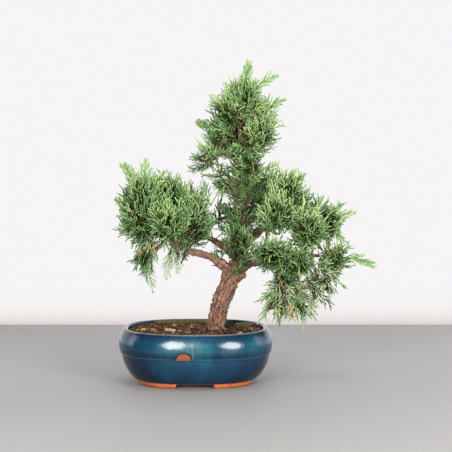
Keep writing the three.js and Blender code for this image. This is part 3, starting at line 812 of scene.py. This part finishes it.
leaf = {
    "kinds": 14, "length": (23, 33), "radius": 0.8, "sideStep": 4.3, "sideAngle": 34, "twigStep": 4.2,
    "reachTone": 16, "shade": 9.0, "reachOfSolid": 1.33, "join": 3.0, "lobe": 12, "dryShare": 0.03,
    "spacing": 7.4, "most": 64, "outerDepth": -2.5, "inner": 9, "innerDepth": -9.0, "innerSpacing": 1.3,
    "innerDark": 0.13, "plumes": 6, "plumeLength": (26, 36), "plumeReach": 7.5, "plumeShare": 0.11, "hubs": 9,
    "shootOver": 2.0, "shootArch": 0.07, "shootFar": 1.62, "shootApart": 9, "paleFrom": 0.3,
}
# how thickly each spray is set, how it leans up or hangs, and its colour: below paleFrom it is added to the tone, a
# painted shade below zero for sprays at the back and inside, a painted light a little above zero at the front and top;
# from paleFrom up, the paler grey of the hanging sprays
sprayStyle = {
    "middle_back": (1.8, 0.4, -0.2), "middle_front": (1.4, 0.4, -0.08), "crown_low": (1.1, 0.5, 0.0),
    "crown_low_left": (1.6, 0.3, -0.03), "crown_low_right": (1.3, 0.5, -0.05), "crown_left_low": (1.35, 0.4, 0.0),
    "crown_left": (1.2, 0.4, 0.0), "crown_back": (1.4, 0.5, -0.12), "crown_top": (1.1, 0.7, 0.02),
    "crown_high_left": (1.12, 0.5, 0.0), "crown_high_right": (1.12, 0.5, 0.0), "crown_right": (1.15, 0.5, 0.0),
    "left_hanging": (1.35, -0.7, 0.5), "left_hanging_inner": (1.5, -0.6, 0.5), "left_inner_low": (1.15, 0.1, -0.05),
    "left_inner_top": (1.1, 0.6, 0.0), "left_back": (1.5, 0.6, -0.2), "left_rear": (1.2, 0.4, -0.1),
    "left_front": (1.0, 0.4, 0.05), "right_lowest": (1.4, -0.5, 0.5), "right_lowest_outer": (1.4, -0.5, 0.5),
    "right_lower": (1.3, -0.2, 0.45), "right_lower_outer": (1.3, -0.1, 0.45), "right_middle": (1.0, 0.3, 0.0),
    "right_middle_outer": (1.0, 0.2, 0.0), "right_tip": (1.15, 0.2, 0.0), "right_upper": (1.0, 0.4, 0.05),
    "right_outer": (1.1, 0.3, 0.0), "right_outer_front": (1.0, 0.3, 0.05), "right_top": (1.05, 0.6, 0.0),
    "right_back": (1.25, 0.5, -0.1), "right_rear": (1.25, 0.4, -0.1),
}
plainStyle = (1.0, 0.45, 0.0)
# limb, stretch of it, how many small shoots it carries, and which way round they face
trunkShoots = {
    "spray_middle_front": [("trunk", 0.29, 0.48, 20, -0.1), ("trunk", 0.46, 0.66, 24, -0.1),
                           ("leftHigh", 0.0, 0.5, 6, -0.5), ("leftLow", 0.0, 0.35, 4, -0.3),
                           ("rightMiddle", 0.03, 0.5, 14, -0.1)],
    "spray_middle_back": [("trunk", 0.42, 0.66, 8, 2.6), ("backBranch", 0.2, 0.9, 6, 0.5)],
    "spray_crown_low": [("trunk", 0.60, 0.80, 26, -0.1), ("crownLeft", 0.1, 0.9, 9, -0.4)],
    "spray_crown_low_right": [("trunk", 0.60, 0.80, 12, 1.4)],
    "spray_crown_low_left": [("trunk", 0.55, 0.78, 12, -1.5)],
    "spray_crown_front": [("trunk", 0.80, 0.97, 5, 0.0)],
}
# bare dark twigs left on the stem and its limbs: limb, stretch, and how many
bareTwigs = {
    "spray_middle_front": [("trunk", 0.36, 0.68, 26)],
    "spray_middle_back": [("trunk", 0.40, 0.70, 22), ("leftHigh", 0.1, 0.9, 12), ("backBranch", 0.1, 0.9, 8)],
    "spray_left_back": [("leftHigh", 0.5, 1.0, 14)],
    "spray_crown_low_left": [("trunk", 0.58, 0.80, 10), ("crownLeft", 0.1, 0.9, 6)],
    "spray_right_outer_front": [("rightHigh", 0.3, 1.0, 14)],
    "spray_right_lower": [("rightDrooping", 0.1, 0.9, 12)],
}
# places where the wood shows between the sprays: middle, and how far round it no sprig ends
clearings = [((46, 0, 209), (42, -34, 214), 9.5), ((46, 0, 199), (43, -34, 202), 8.5)]


def bentLine(start, direction, towards, length, pieces, bend):
    # a cord that turns gently towards another direction, with a short last piece
    share = np.concatenate([np.linspace(0, 0.9, pieces - 1), [1]])
    middle = ((share[1:] + share[:-1]) / 2)[:, None]
    heading = unit(unit(direction) * (1 - middle * bend) + unit(towards) * middle * bend)
    steps = heading * (np.diff(share) * length)[:, None]
    return np.asarray(start) + np.concatenate([[[0, 0, 0]], np.cumsum(steps, axis=0)])


def cordOnto(bundle, line, radius, tone, blunt=0.42):
    pieces = np.linalg.norm(np.diff(line, axis=0), axis=1)
    walked = np.concatenate([[0], np.cumsum(pieces)])
    share = walked / walked[-1]
    radii = radius * (1 - 0.22 * share)
    radii[-1] = radius * blunt
    points, quads = tube(line, radii)
    toTip = np.repeat(walked[-1] - walked, 4)
    uv = np.stack([np.full(len(points), tone), np.clip(1 - toTip / leaf["reachTone"], 0, 1)], 1)
    bundle.add(points, quads, uv)


def alongLine(line, share):
    spot = np.linspace(0, 1, len(line))
    at = np.array([np.interp(share, spot, line[:, k]) for k in range(3)])
    k = min(len(line) - 2, int(share * (len(line) - 1)))
    return at, unit(line[k + 1] - line[k])


def growSprig(rng, length, radius, fullness=1.0):
    # one fan: a leading cord, side cords that sweep forward, and short cords on those
    bundle = Bundle()
    forward = np.array([0, 0, 1.0])
    lean = unit([rng.normal() * 0.3, rng.normal() * 0.3, 1])
    main = bentLine([0, 0, 0], forward, lean, length, 7, 0.7)
    cordOnto(bundle, main, radius * 1.1, 0.0)
    flat = rng.uniform(0, np.pi)
    position, side = length * 0.14, 1
    while position < length * 0.94:
        share = position / length
        at, here = alongLine(main, share)
        turn = flat + (0 if side > 0 else np.pi) + rng.normal() * 0.5
        out = np.array([np.cos(turn), np.sin(turn), 0])
        angle = math.radians(leaf["sideAngle"] + rng.normal() * 8)
        heading = unit(here * math.cos(angle) + out * math.sin(angle))
        sideLength = ((1 - share) * length * 0.42 + rng.uniform(3.5, 6.5)) * fullness
        sideTone = rng.normal() * 0.075
        line = bentLine(at, heading, here + out * 0.2, sideLength, 5, 0.8)
        cordOnto(bundle, line, radius, sideTone)
        inner, flip = 2.6, rng.choice([-1, 1])
        while inner < sideLength - 2.2:
            spot, way = alongLine(line, inner / sideLength)
            plane = unit(np.cross(np.cross(out, forward), way))
            aside = unit(plane * flip + np.cross(plane, way) * rng.normal() * 0.5)
            small = unit(way * 0.85 + aside * 0.52)
            smallLength = min(9.0, (sideLength - inner) * 0.6 + rng.uniform(3.2, 5.5)) * fullness
            cordOnto(bundle, bentLine(spot, small, way, smallLength, 4, 0.6), radius * 0.88,
                     sideTone + rng.normal() * 0.05)
            inner += leaf["twigStep"] * rng.uniform(0.8, 1.3)
            flip = -flip
        position += leaf["sideStep"] * rng.uniform(0.8, 1.25)
        side = -side
    points, quads, uv = bundle.arrays()
    return {"points": points, "quads": quads, "uv": uv, "length": length}


def growShoot(bundle, rng, start, end, tone, thick):
    # a long feathery shoot that arches out of a spray, clothed in short cords up to its tip
    way = end - start
    length = np.linalg.norm(way)
    way = way / length
    aside = unit(np.cross(way, [0.1, 0.9, 0.3]))
    share = np.linspace(0, 1, 12)[:, None]
    line = start + way * length * share + (np.array([0, 0, 1.0]) + aside * rng.normal() * 0.6) * (
        np.sin(share * np.pi) * length * leaf["shootArch"])
    cordOnto(bundle, line, leaf["radius"] * 1.25 * thick, tone)
    spot, flip = 1.5, 1
    while spot < length - 1.2:
        at, here = alongLine(line, spot / length)
        for side in (flip, -flip) if rng.random() < 0.55 else (flip,):
            out = unit(aside * side + np.cross(way, aside) * rng.normal() * 0.55)
            heading = unit(here * 0.82 + out * 0.57)
            reach = min(11.0, (length - spot) * 0.36 + 3.4) * rng.uniform(0.8, 1.15)
            sideTone = tone + rng.normal() * 0.05
            twig = bentLine(at, heading, here + out * 0.3, reach, 4, 0.7)
            cordOnto(bundle, twig, leaf["radius"] * thick, sideTone)
            for part in (0.3, 0.6) if reach > 6 else (0.4,):
                fork, along = alongLine(twig, part)
                small = unit(along * 0.85 + unit(np.cross(out, way) * rng.normal() + out * rng.choice([-1, 1])) * 0.5)
                cordOnto(bundle, bentLine(fork, small, along, reach * 0.42, 3, 0.5), leaf["radius"] * 0.85 * thick,
                         sideTone)
        spot += rng.uniform(2.0, 3.0) / thick
        flip = -flip


sprigRandom = np.random.default_rng(41)
sprigs = [growSprig(sprigRandom, sprigRandom.uniform(*leaf["length"]), leaf["radius"]) for _ in range(leaf["kinds"])]
plumes = [growSprig(sprigRandom, sprigRandom.uniform(*leaf["plumeLength"]), leaf["radius"], 0.6)
          for _ in range(leaf["plumes"])]
print("sprig kinds:", [len(s["quads"]) for s in sprigs + plumes])


def turnedTo(direction, roll):
    # a turn that takes +Z to the direction, with a roll about it
    z = unit(direction)
    x = unit(np.cross(z, [0.123, 0.456, 0.88]))
    y = np.cross(z, x)
    c, s = math.cos(roll), math.sin(roll)
    return np.stack([x * c + y * s, y * c - x * s, z], 1)


def setSprig(bundle, sprig, base, direction, size, tone, roll, lift):
    # the cords keep their thickness in step with the sprig's size, and its end curls up or down
    local = sprig["points"] * size
    points = local @ turnedTo(direction, roll).T + base
    reach = np.clip(local[:, 2] / (sprig["length"] * size), 0, 1.2)
    points[:, 2] += lift * reach ** 2
    uv = sprig["uv"].copy()
    uv[:, 0] += tone
    bundle.add(points, sprig["quads"], uv)


twigMark = 0.03


def twigOnto(bundle, start, end, first, last, sag=0.0):
    share = np.linspace(0, 1, 6)[:, None]
    line = np.asarray(start) * (1 - share) + np.asarray(end) * share
    line[:, 2] -= sag * np.sin(share[:, 0] * np.pi)
    points, quads = tube(line, np.linspace(first, last, 6))
    bundle.add(points, quads, np.full((len(points), 2), (0.3, twigMark)))


aboveSoil = [lines for name, lines in woodLines.items() if not name.startswith("root")]
woodPoints, woodRadii = (np.concatenate(values) for values in zip(*aboveSoil))
crownMiddle = treeFoot + np.array([48, 0, 120])


def ballOf(nodeName):
    # middle of a CAD solid, and the reach of the spray it stands for
    data = nodes[nodeName].data
    data.calc_loop_triangles()
    corners = pointsOf(nodes[nodeName])[readMesh(data.loop_triangles, "vertices", 3, np.int32)]
    volumes = np.einsum("ij,ij->i", corners[:, 0], np.cross(corners[:, 1], corners[:, 2])) / 6
    middle = (corners.sum(1) / 4 * volumes[:, None]).sum(0) / volumes.sum()
    return middle, leaf["reachOfSolid"] * (0.75 / np.pi * volumes.sum()) ** (1 / 3)


sprayNames = sorted(name for name in nodes if name.startswith("spray_"))
sprayCentres, sprayReach = (np.array(values) for values in zip(*map(ballOf, sprayNames)))


def massAt(points, join):
    # distance to the sprays run together softly, and the way out of them
    offset = points[:, None] - sprayCentres[None]
    distance = np.linalg.norm(offset, axis=2)
    gap = distance - sprayReach[None]
    weight = np.exp(-(gap - gap.min(1, keepdims=True)) / join)
    out = unit((offset / (distance[..., None] + 1e-9) * weight[..., None]).sum(1))
    return gap.min(1) - join * np.log(weight.sum(1)), out, gap


def tipPlaces(index, rng, depth, spacing, most):
    # ends of sprigs spread over this spray's share of the run-together skin
    centre, reach = sprayCentres[index], sprayReach[index]
    tries = most * 14
    points = centre + unit(rng.normal(size=(tries, 3))) * reach
    level = depth + rng.normal(size=tries) * 2.2
    for _ in range(3):
        distance, out, gap = massAt(points, leaf["join"])
        points = points + out * (level - distance)[:, None]
    distance, out, gap = massAt(points, leaf["join"])
    mine = gap[:, index] - gap.min(1) < 1.5
    kept = []
    for point in points[mine]:
        if all(np.abs(point - other).max() > spacing * 0.35 and np.linalg.norm(point - other) > spacing
               for other in kept):
            kept.append(point)
            if len(kept) == most:
                break
    return np.array(kept).reshape(-1, 3)


def inClearing(point):
    for start, end, reach in clearings:
        start, end = treeFoot + np.array(start), treeFoot + np.array(end)
        share = np.clip((point - start) @ (end - start) / ((end - start) ** 2).sum(), 0, 1)
        if np.linalg.norm(point - start - (end - start) * share) < reach:
            return True
    return False


def addTwigs(bundle, index):
    # the twig that joins the spray to its limb, and smaller twigs inside it
    centre, ball = sprayCentres[index], sprayReach[index]
    gaps = np.linalg.norm(centre - woodPoints, axis=1) - woodRadii + 0.6 * np.maximum(0, (woodPoints - centre)[:, 2])
    twigOnto(bundle, woodPoints[gaps.argmin()], centre, 1.5, 0.9, 1.5)
    hubs = []
    for k in range(leaf["hubs"]):
        rise = 0.85 - 1.5 * k / (leaf["hubs"] - 1)
        flat = math.sqrt(max(0, 1 - rise * rise))
        turn = k * 2.4 + index
        hubs.append(centre + np.array([math.cos(turn) * flat, math.sin(turn) * flat, rise * 0.8]) * ball * 0.4)
        twigOnto(bundle, centre, hubs[-1], 0.8, 0.55, 0.4)
    return np.array(hubs)


def addLayer(bundle, rng, index, hubs, depth, spacing, most, paintedShade):
    # sprigs that end all over the spray, each on a fine twig from the nearest hub
    nodeName = sprayNames[index]
    _, upward, shade = styleOf(nodeName)
    tips = tipPlaces(index, rng, depth, spacing, most)
    if not len(tips):
        return
    _, near, _ = massAt(tips, leaf["join"])
    _, lobe, _ = massAt(tips, leaf["lobe"])
    for tip, skinWay, lobeWay in zip(tips, near, lobe):
        treeWay = unit(tip - crownMiddle)
        woodWay = unit(tip - woodPoints[np.linalg.norm(tip - woodPoints, axis=1).argmin()])
        heading = unit(woodWay * 0.55 + lobeWay * 0.5 + skinWay * 0.25 + np.array([0, 0, upward])
                       + rng.normal(size=3) * 0.27)
        if paintedShade == 0 and upward > 0.2 and rng.random() < leaf["plumeShare"]:
            sprig = plumes[rng.integers(len(plumes))]
            tip = tip + heading * leaf["plumeReach"] * rng.uniform(0.5, 1.2)
        else:
            sprig = sprigs[rng.integers(len(sprigs))]
        size = min(1.0, (sprayReach[index] + 9) / sprig["length"]) * rng.uniform(0.82, 1.1)
        base = tip - heading * sprig["length"] * size * 0.94
        if inClearing(tip) or inClearing((tip + base) / 2):
            continue
        # lighter where the spray's skin faces up and higher in the tree, a painted light from above; the inner layer
        # is darker by a painted shade
        tone = 0.30 + 0.13 * skinWay[2] + 0.06 * treeWay[2] - paintedShade + rng.normal() * 0.085
        tone = np.clip(tone + (shade if shade < leaf["paleFrom"] else 0), 0.03, 0.58)
        if shade >= leaf["paleFrom"] and rng.random() < 0.6:
            tone = 0.66 + tone * 0.36
        if "right_l" in nodeName and rng.random() < leaf["dryShare"]:
            tone = 0.97
        roll, lift = rng.uniform(0, 6.28), rng.uniform(0.0, 3.0) * np.sign(upward)
        setSprig(bundle, sprig, base, heading, size, tone, roll, lift)
        twigOnto(bundle, hubs[np.linalg.norm(hubs - base, axis=1).argmin()], base, 0.5, 0.5)


def addTrunkShoots(bundle, rng, nodeName):
    # small shoots straight off the wood
    shade = styleOf(nodeName)[2]
    for limbName, low, high, many, side in trunkShoots.get(nodeName, []):
        line, radii = woodLines[limbName]
        for _ in range(many):
            spot = int(len(line) * rng.uniform(low, high))
            turn = side + rng.normal() * 1.0
            heading = unit([math.sin(turn), -math.cos(turn), rng.uniform(0.1, 1.1)])
            sprig = sprigs[rng.integers(len(sprigs))]
            setSprig(bundle, sprig, line[spot] + heading * radii[spot] * 0.6, heading, rng.uniform(0.42, 0.78),
                     0.2 + shade + rng.normal() * 0.08, rng.uniform(0, 6.28), 2)


def addBareTwigs(bundle, rng, nodeName):
    for limbName, low, high, many in bareTwigs.get(nodeName, []):
        line, _ = woodLines[limbName]
        for _ in range(many):
            foot = line[int((len(line) - 1) * rng.uniform(low, high))]
            heading = unit(np.array([rng.normal(), rng.normal() * 0.7, rng.uniform(0.0, 1.2)]))
            tip = foot + heading * rng.uniform(10, 24)
            twigOnto(bundle, foot, tip, 0.75, 0.3, rng.normal() * 1.2)
            for _ in range(3):
                knot = foot + (tip - foot) * rng.uniform(0.4, 0.95)
                twigOnto(bundle, knot, knot + unit(heading + rng.normal(size=3) * 0.7) * rng.uniform(3, 8), 0.5, 0.22)


def addLongShoots(bundle, rng, index):
    # long feathery shoots that stand out of the spray, where its solid has a long point
    nodeName, centre, ball = sprayNames[index], sprayCentres[index], sprayReach[index]
    tone, thick = (0.40, 1.0) if styleOf(nodeName)[2] < leaf["paleFrom"] else (0.74, 0.72)
    corners = pointsOf(nodes[nodeName])
    far = np.linalg.norm(corners - centre, axis=1)
    shootTips = []
    for k in np.argsort(-far):
        if far[k] < ball * leaf["shootFar"] + 2 or nodeName == "spray_crown_low":
            break
        if all(np.linalg.norm(corners[k] - other) > leaf["shootApart"] for other in shootTips):
            shootTips.append(corners[k])
    for spot in shootTips:
        heading = unit(spot - centre)
        base = centre + heading * ball * 0.45
        twigOnto(bundle, centre, base, 0.8, 0.7)
        growShoot(bundle, rng, base, spot + heading * leaf["shootOver"], tone, thick)


def styleOf(nodeName):
    return sprayStyle.get(nodeName.replace("spray_", ""), plainStyle)


def makeSpray(index, material):
    nodeName = sprayNames[index]
    rng = np.random.default_rng(100 + index)
    bundle = Bundle()
    hubs = addTwigs(bundle, index)
    # an outer layer of sprigs, and one behind it that closes the gaps, darker by a painted shade
    spacing = leaf["spacing"] * styleOf(nodeName)[0]
    addLayer(bundle, rng, index, hubs, leaf["outerDepth"], spacing, leaf["most"], 0.0)
    addLayer(bundle, rng, index, hubs, leaf["innerDepth"], spacing * leaf["innerSpacing"], leaf["inner"],
             leaf["innerDark"])
    addTrunkShoots(bundle, rng, nodeName)
    addBareTwigs(bundle, rng, nodeName)
    addLongShoots(bundle, rng, index)
    # young and bright at the cords' tips; a painted shade darkens the cords the deeper they lie in the spray, leaving
    # them bright near the outside
    points, quads, uv = bundle.arrays()
    distance, _, _ = massAt(points, leaf["join"])
    outsideLight = np.clip(1 + (distance + 1.5) / leaf["shade"], 0, 1)
    leafy = uv[:, 1] != twigMark
    uv[:, 0] = np.clip(uv[:, 0], 0.02, 0.98)
    uv[leafy, 1] = 0.14 + 0.85 * ((0.45 * uv[:, 1] + 0.55 * outsideLight) * (0.45 + 0.55 * outsideLight))[leafy]
    obj = meshObject(nodeName.replace("spray_", "leaves_"), points, quads, uv=uv)
    settle(obj, "foliage", material, nodeName)
    return len(quads)


def makeLeafMaterial():
    material, tree, shader = newFinish("scaleLeaves", rough=0.6, specular=0.14)
    tone, toTip, _ = axesOf(addNode(tree, "ShaderNodeUVMap", uv_map="OFBake").outputs[0])
    # greens, then the paler greys of the hanging sprays, then dry sprigs; along the greens the tone also holds painted
    # light and shade
    oldAndShaded = ramp(tone, [
        (0.02, (0.005, 0.010, 0.002)), (0.2, (0.011, 0.023, 0.003)), (0.38, (0.020, 0.040, 0.005)),
        (0.6, (0.046, 0.075, 0.011)), (0.66, (0.027, 0.044, 0.014)), (0.88, (0.066, 0.092, 0.044)),
        (0.93, (0.16, 0.09, 0.04)), (1.0, (0.24, 0.12, 0.05)),
    ])
    youngAndLit = ramp(tone, [
        (0.02, (0.042, 0.084, 0.028)), (0.2, (0.105, 0.192, 0.072)), (0.38, (0.19, 0.305, 0.120)),
        (0.6, (0.34, 0.445, 0.170)), (0.66, (0.20, 0.28, 0.165)), (0.88, (0.36, 0.435, 0.285)),
        (0.93, (0.36, 0.20, 0.08)), (1.0, (0.46, 0.28, 0.12)),
    ])
    # mixed by the cords' youth and the painted shade of their depth, from old and shaded to young and lit
    colour = mixed(rising(toTip, 0.3, 0.97), oldAndShaded, youngAndLit)
    feed(shader.inputs["Base Color"], mixed(rising(toTip, 0.06, 0.11, 1.0, 0.0), colour, (0.12, 0.065, 0.032)))
    # rows of scales show as a fine beading
    bumped(shader, cells(objectPlace(tree), 900.0), 0.0002, 0.5)
    return material


leafMaterial = makeLeafMaterial()
print("foliage made:", sum(makeSpray(index, leafMaterial) for index in range(len(sprayNames))), "faces")


# ground: soil with grains and chips, moss and loose bark

soil = {"grains": 950, "slivers": 160, "edge": 69.4, "sides": 200, "rings": 64, "trunkSpot": (21.0, -7.0)}

# radius and height of the bed's sides and bottom, inside the pot
bedOutline = [(69.4, 46.7), (68.2, 29), (63.1, 16.2), (52, 10.4), (1, 10.4)]


def soilHeight(x, y):
    # the same gentle mound as the solid soil
    away = np.hypot(x / pot["halfLength"], y / pot["halfDepth"])
    mound = 4 * np.maximum(0, 1 - away) ** 1.5
    wave = 0.5 * np.sin(x * 0.31 + 1.3) * np.sin(y * 0.37 + 0.4)
    return soilLine + mound + wave * np.minimum(1, 2 - 2 * away)


def unitLump():
    build = bmesh.new()
    bmesh.ops.create_icosphere(build, subdivisions=1, radius=1)
    points = np.array([v.co for v in build.verts])
    tris = np.array([[v.index for v in f.verts] for f in build.faces])
    build.free()
    return points, tris


def crumblyFinish(name, stops, grains, strength, bump, rough, **others):
    # a colour by each point's own tint, broken up by fine grit
    material, tree, shader = newFinish(name, rough=rough, **others)
    tint = addNode(tree, "ShaderNodeAttribute", attribute_name="tint").outputs["Fac"]
    grit = mottle(tree, *grains, 0.5)
    shade = maths("ADD", tint, times(minus(grit, 0.5), strength), clamp=True)
    feed(shader.inputs["Base Color"], ramp(shade, stops))
    bumped(shader, grit, *bump)
    return material


def soilFinish(name, stops):
    return crumblyFinish(name, stops, (380, 1500), 0.7, (0.0006, 0.8), 0.95, specular=0.12)


def makeSoil():
    rng = np.random.default_rng(11)
    turns = evenTurns(soil["sides"])
    count = len(turns)
    shares = np.linspace(1, 0.012, soil["rings"])
    flats = [ovalPoint(soil["edge"] * share, turns) for share in shares]
    top = np.concatenate([np.column_stack([flat, soilHeight(*flat.T)]) for flat in flats])
    rough = lumps(top, 2.2, 5.0) * 0.55 + lumps(top, 0.9, 8.0) * 0.35 + lumps(top, 7, 2.0) * 0.6
    edgeFade = np.clip((1 - np.repeat(shares, count)) * 14, 0.15, 1)
    top[:, 2] += rough * edgeFade - 0.2
    tints = [np.clip(0.27 + rough * 0.28 + lumps(top, 9, 3.3) * 0.3, 0, 1)]
    rings = np.arange(len(top)).reshape(-1, count)
    quads = [ringQuads(first, second) for first, second in zip(rings, rings[1:])]
    made = len(top)
    points = [top]
    above = rings[0]
    for radius, height in bedOutline:
        points.append(atHeight(ovalPoint(radius, turns), height))
        tints.append(np.full(count, 0.2))
        ring = made + np.arange(count)
        quads.append(ringQuads(ring, above))
        above = ring
        made += count
    lumpPoints, lumpTris = unitLump()
    tris = []
    trunkX, trunkY = soil["trunkSpot"]
    placedCount = 0
    while placedCount < soil["grains"] + soil["slivers"]:
        x, y = rng.uniform(-68, 68), rng.uniform(-55, 55)
        if (abs(x) / 66.5) ** 2.5 + (abs(y) / 52.5) ** 2.5 > 1 or np.hypot(x - trunkX, y - trunkY) < 9:
            continue
        sliver = placedCount >= soil["grains"]
        size = rng.uniform(1.6, 3.4) if sliver else rng.uniform(0.55, 1.5)
        widths, heights = ((0.28, 0.5), (0.14, 0.25)) if sliver else ((0.6, 1), (0.4, 0.75))
        shape = np.array([1.0, rng.uniform(*widths), rng.uniform(*heights)])
        turn = np.array(Matrix.Rotation(rng.uniform(0, 6.28), 3, "Z")
                        @ Matrix.Rotation(rng.normal() * 0.35, 3, "X")
                        @ Matrix.Rotation(rng.normal() * 0.25, 3, "Y"))
        local = lumpPoints * (1 + rng.normal(size=(len(lumpPoints), 1)) * 0.16) * shape * size
        points.append(local @ turn.T + np.array([x, y, soilHeight(x, y) + size * shape[2] * 0.55]))
        peat = 0.25 if x > 30 else 0.0
        shade = rng.beta(1.5, 3.4) - peat * rng.random()
        tints.append(np.full(len(lumpPoints), np.clip(shade + (0.22 if sliver else 0), 0, 1)))
        tris.append(lumpTris + made)
        made += len(lumpPoints)
        placedCount += 1
    obj = meshObject("soil_bed", np.concatenate(points) + potMiddle, np.concatenate(quads), np.concatenate(tris))
    pointValue(obj, "tint", np.concatenate(tints))
    settle(obj, "soil", soilFinish("potSoil", [
        (0.0, (0.009, 0.005, 0.002)), (0.3, (0.040, 0.021, 0.008)), (0.5, (0.095, 0.053, 0.022)),
        (0.7, (0.155, 0.092, 0.044)), (0.88, (0.22, 0.140, 0.075)), (1.0, (0.34, 0.235, 0.14)),
    ]), "soil")


makeSoil()
print("soil made")

chips = {"voxel": 0.34, "tan": (0, 3, 6)}


def makeChips():
    tan = soilFinish("bark_tan", [(0.1, (0.11, 0.058, 0.032)), (0.5, (0.23, 0.145, 0.088)), (0.9, (0.38, 0.27, 0.18))])
    brown = soilFinish("bark_brown", [(0.1, (0.035, 0.018, 0.010)), (0.5, (0.13, 0.068, 0.038)),
                                      (0.9, (0.27, 0.165, 0.10))])
    for number, nodeName in enumerate(sorted(n for n in nodes if n.startswith("bark_chip"))):
        obj = remeshed(nodeName, nodeName.replace("bark_chip", "loose_bark"), chips["voxel"])
        points = pointsOf(obj)
        grainy = lumps(points * np.array([0.5, 1.4, 2.4]), 1.4, number) * 0.42 + lumps(points, 3.2, number + 5) * 0.5
        setPoints(obj, points + normalsOf(obj) * grainy[:, None])
        pointValue(obj, "tint", np.clip(0.5 + grainy * 0.6, 0, 1))
        settle(obj, "chip", tan if number in chips["tan"] else brown, nodeName)


makeChips()
print("loose bark made")

moss = {"voxel": 0.8, "blades": 1500, "bladeLength": (0.7, 1.7), "bladeRadii": [0.24, 0.2, 0.05]}


def makeMoss():
    material = crumblyFinish("dryMoss", [
        (0.0, (0.012, 0.009, 0.004)), (0.35, (0.040, 0.030, 0.011)), (0.6, (0.092, 0.078, 0.022)),
        (0.85, (0.165, 0.145, 0.042)), (1.0, (0.26, 0.22, 0.085)),
    ], (240, 1300), 0.6, (0.0005, 0.7), 0.9)
    for number, nodeName in enumerate(sorted(n for n in nodes if n.startswith("moss_"))):
        rng = np.random.default_rng(70 + number)
        cushion = remeshed(nodeName, nodeName + "_cushion", moss["voxel"])
        outward = normalsOf(cushion)
        points = pointsOf(cushion)
        rise = lumps(points, 3.0, number) * 0.7 + lumps(points, 1.3, number + 3) * 0.4
        points = points + outward * rise[:, None]
        bundle = Bundle()
        bundle.add(points, readMesh(cushion.data.loops, "vertex_index", 1, np.int32).reshape(-1, 4))
        tints = [np.clip(0.35 + rise * 0.35, 0, 1)]
        able = np.flatnonzero(outward[:, 2] > 0.35)
        for k in rng.choice(able, size=min(len(able), moss["blades"]), replace=False):
            heading = unit(outward[k] + rng.normal(size=3) * 0.45)
            length = rng.uniform(*moss["bladeLength"])
            share = np.linspace(0, 1, 3)[:, None]
            bundle.add(*tube(points[k] - outward[k] * 0.2 + heading * length * share, moss["bladeRadii"]))
            tints.append(np.clip(np.repeat([0.3, 0.5, 0.75], 4) + rng.normal() * 0.15, 0, 1))
        bpy.data.objects.remove(cushion)
        points, quads, _ = bundle.arrays()
        obj = meshObject(nodeName + "_mat", points, quads)
        pointValue(obj, "tint", np.concatenate(tints))
        settle(obj, "moss", material, nodeName)


makeMoss()
print("moss made")


# drain nets and clips keep their CAD shape, with their own finishes

def finishSmallParts():
    plastic, tree, shader = newFinish("netPlastic", rough=0.55)
    mask = mottle(tree, 90, 900)
    feed(shader.inputs["Base Color"], ramp(mask, [(0.3, (0.012, 0.012, 0.013)), (0.7, (0.035, 0.035, 0.037))]))
    bumped(shader, mask, 0.0002, 0.4)
    wire, tree, shader = newFinish("clipWire")
    mask = mottle(tree, 300, 2000)
    feed(shader.inputs["Base Color"], ramp(mask, [(0.3, (0.55, 0.55, 0.57)), (0.7, (0.78, 0.78, 0.8))]))
    shader.inputs["Metallic"].default_value = 1.0
    feed(shader.inputs["Roughness"], rising(mask, 0, 1, 0.25, 0.5))
    for start, material in (("drain_net_", plastic), ("net_clip_", wire)):
        for side in ("left", "right"):
            nodes[start + side].data.materials.clear()
            nodes[start + side].data.materials.append(material)


finishSmallParts()
print("nets and clips finished")
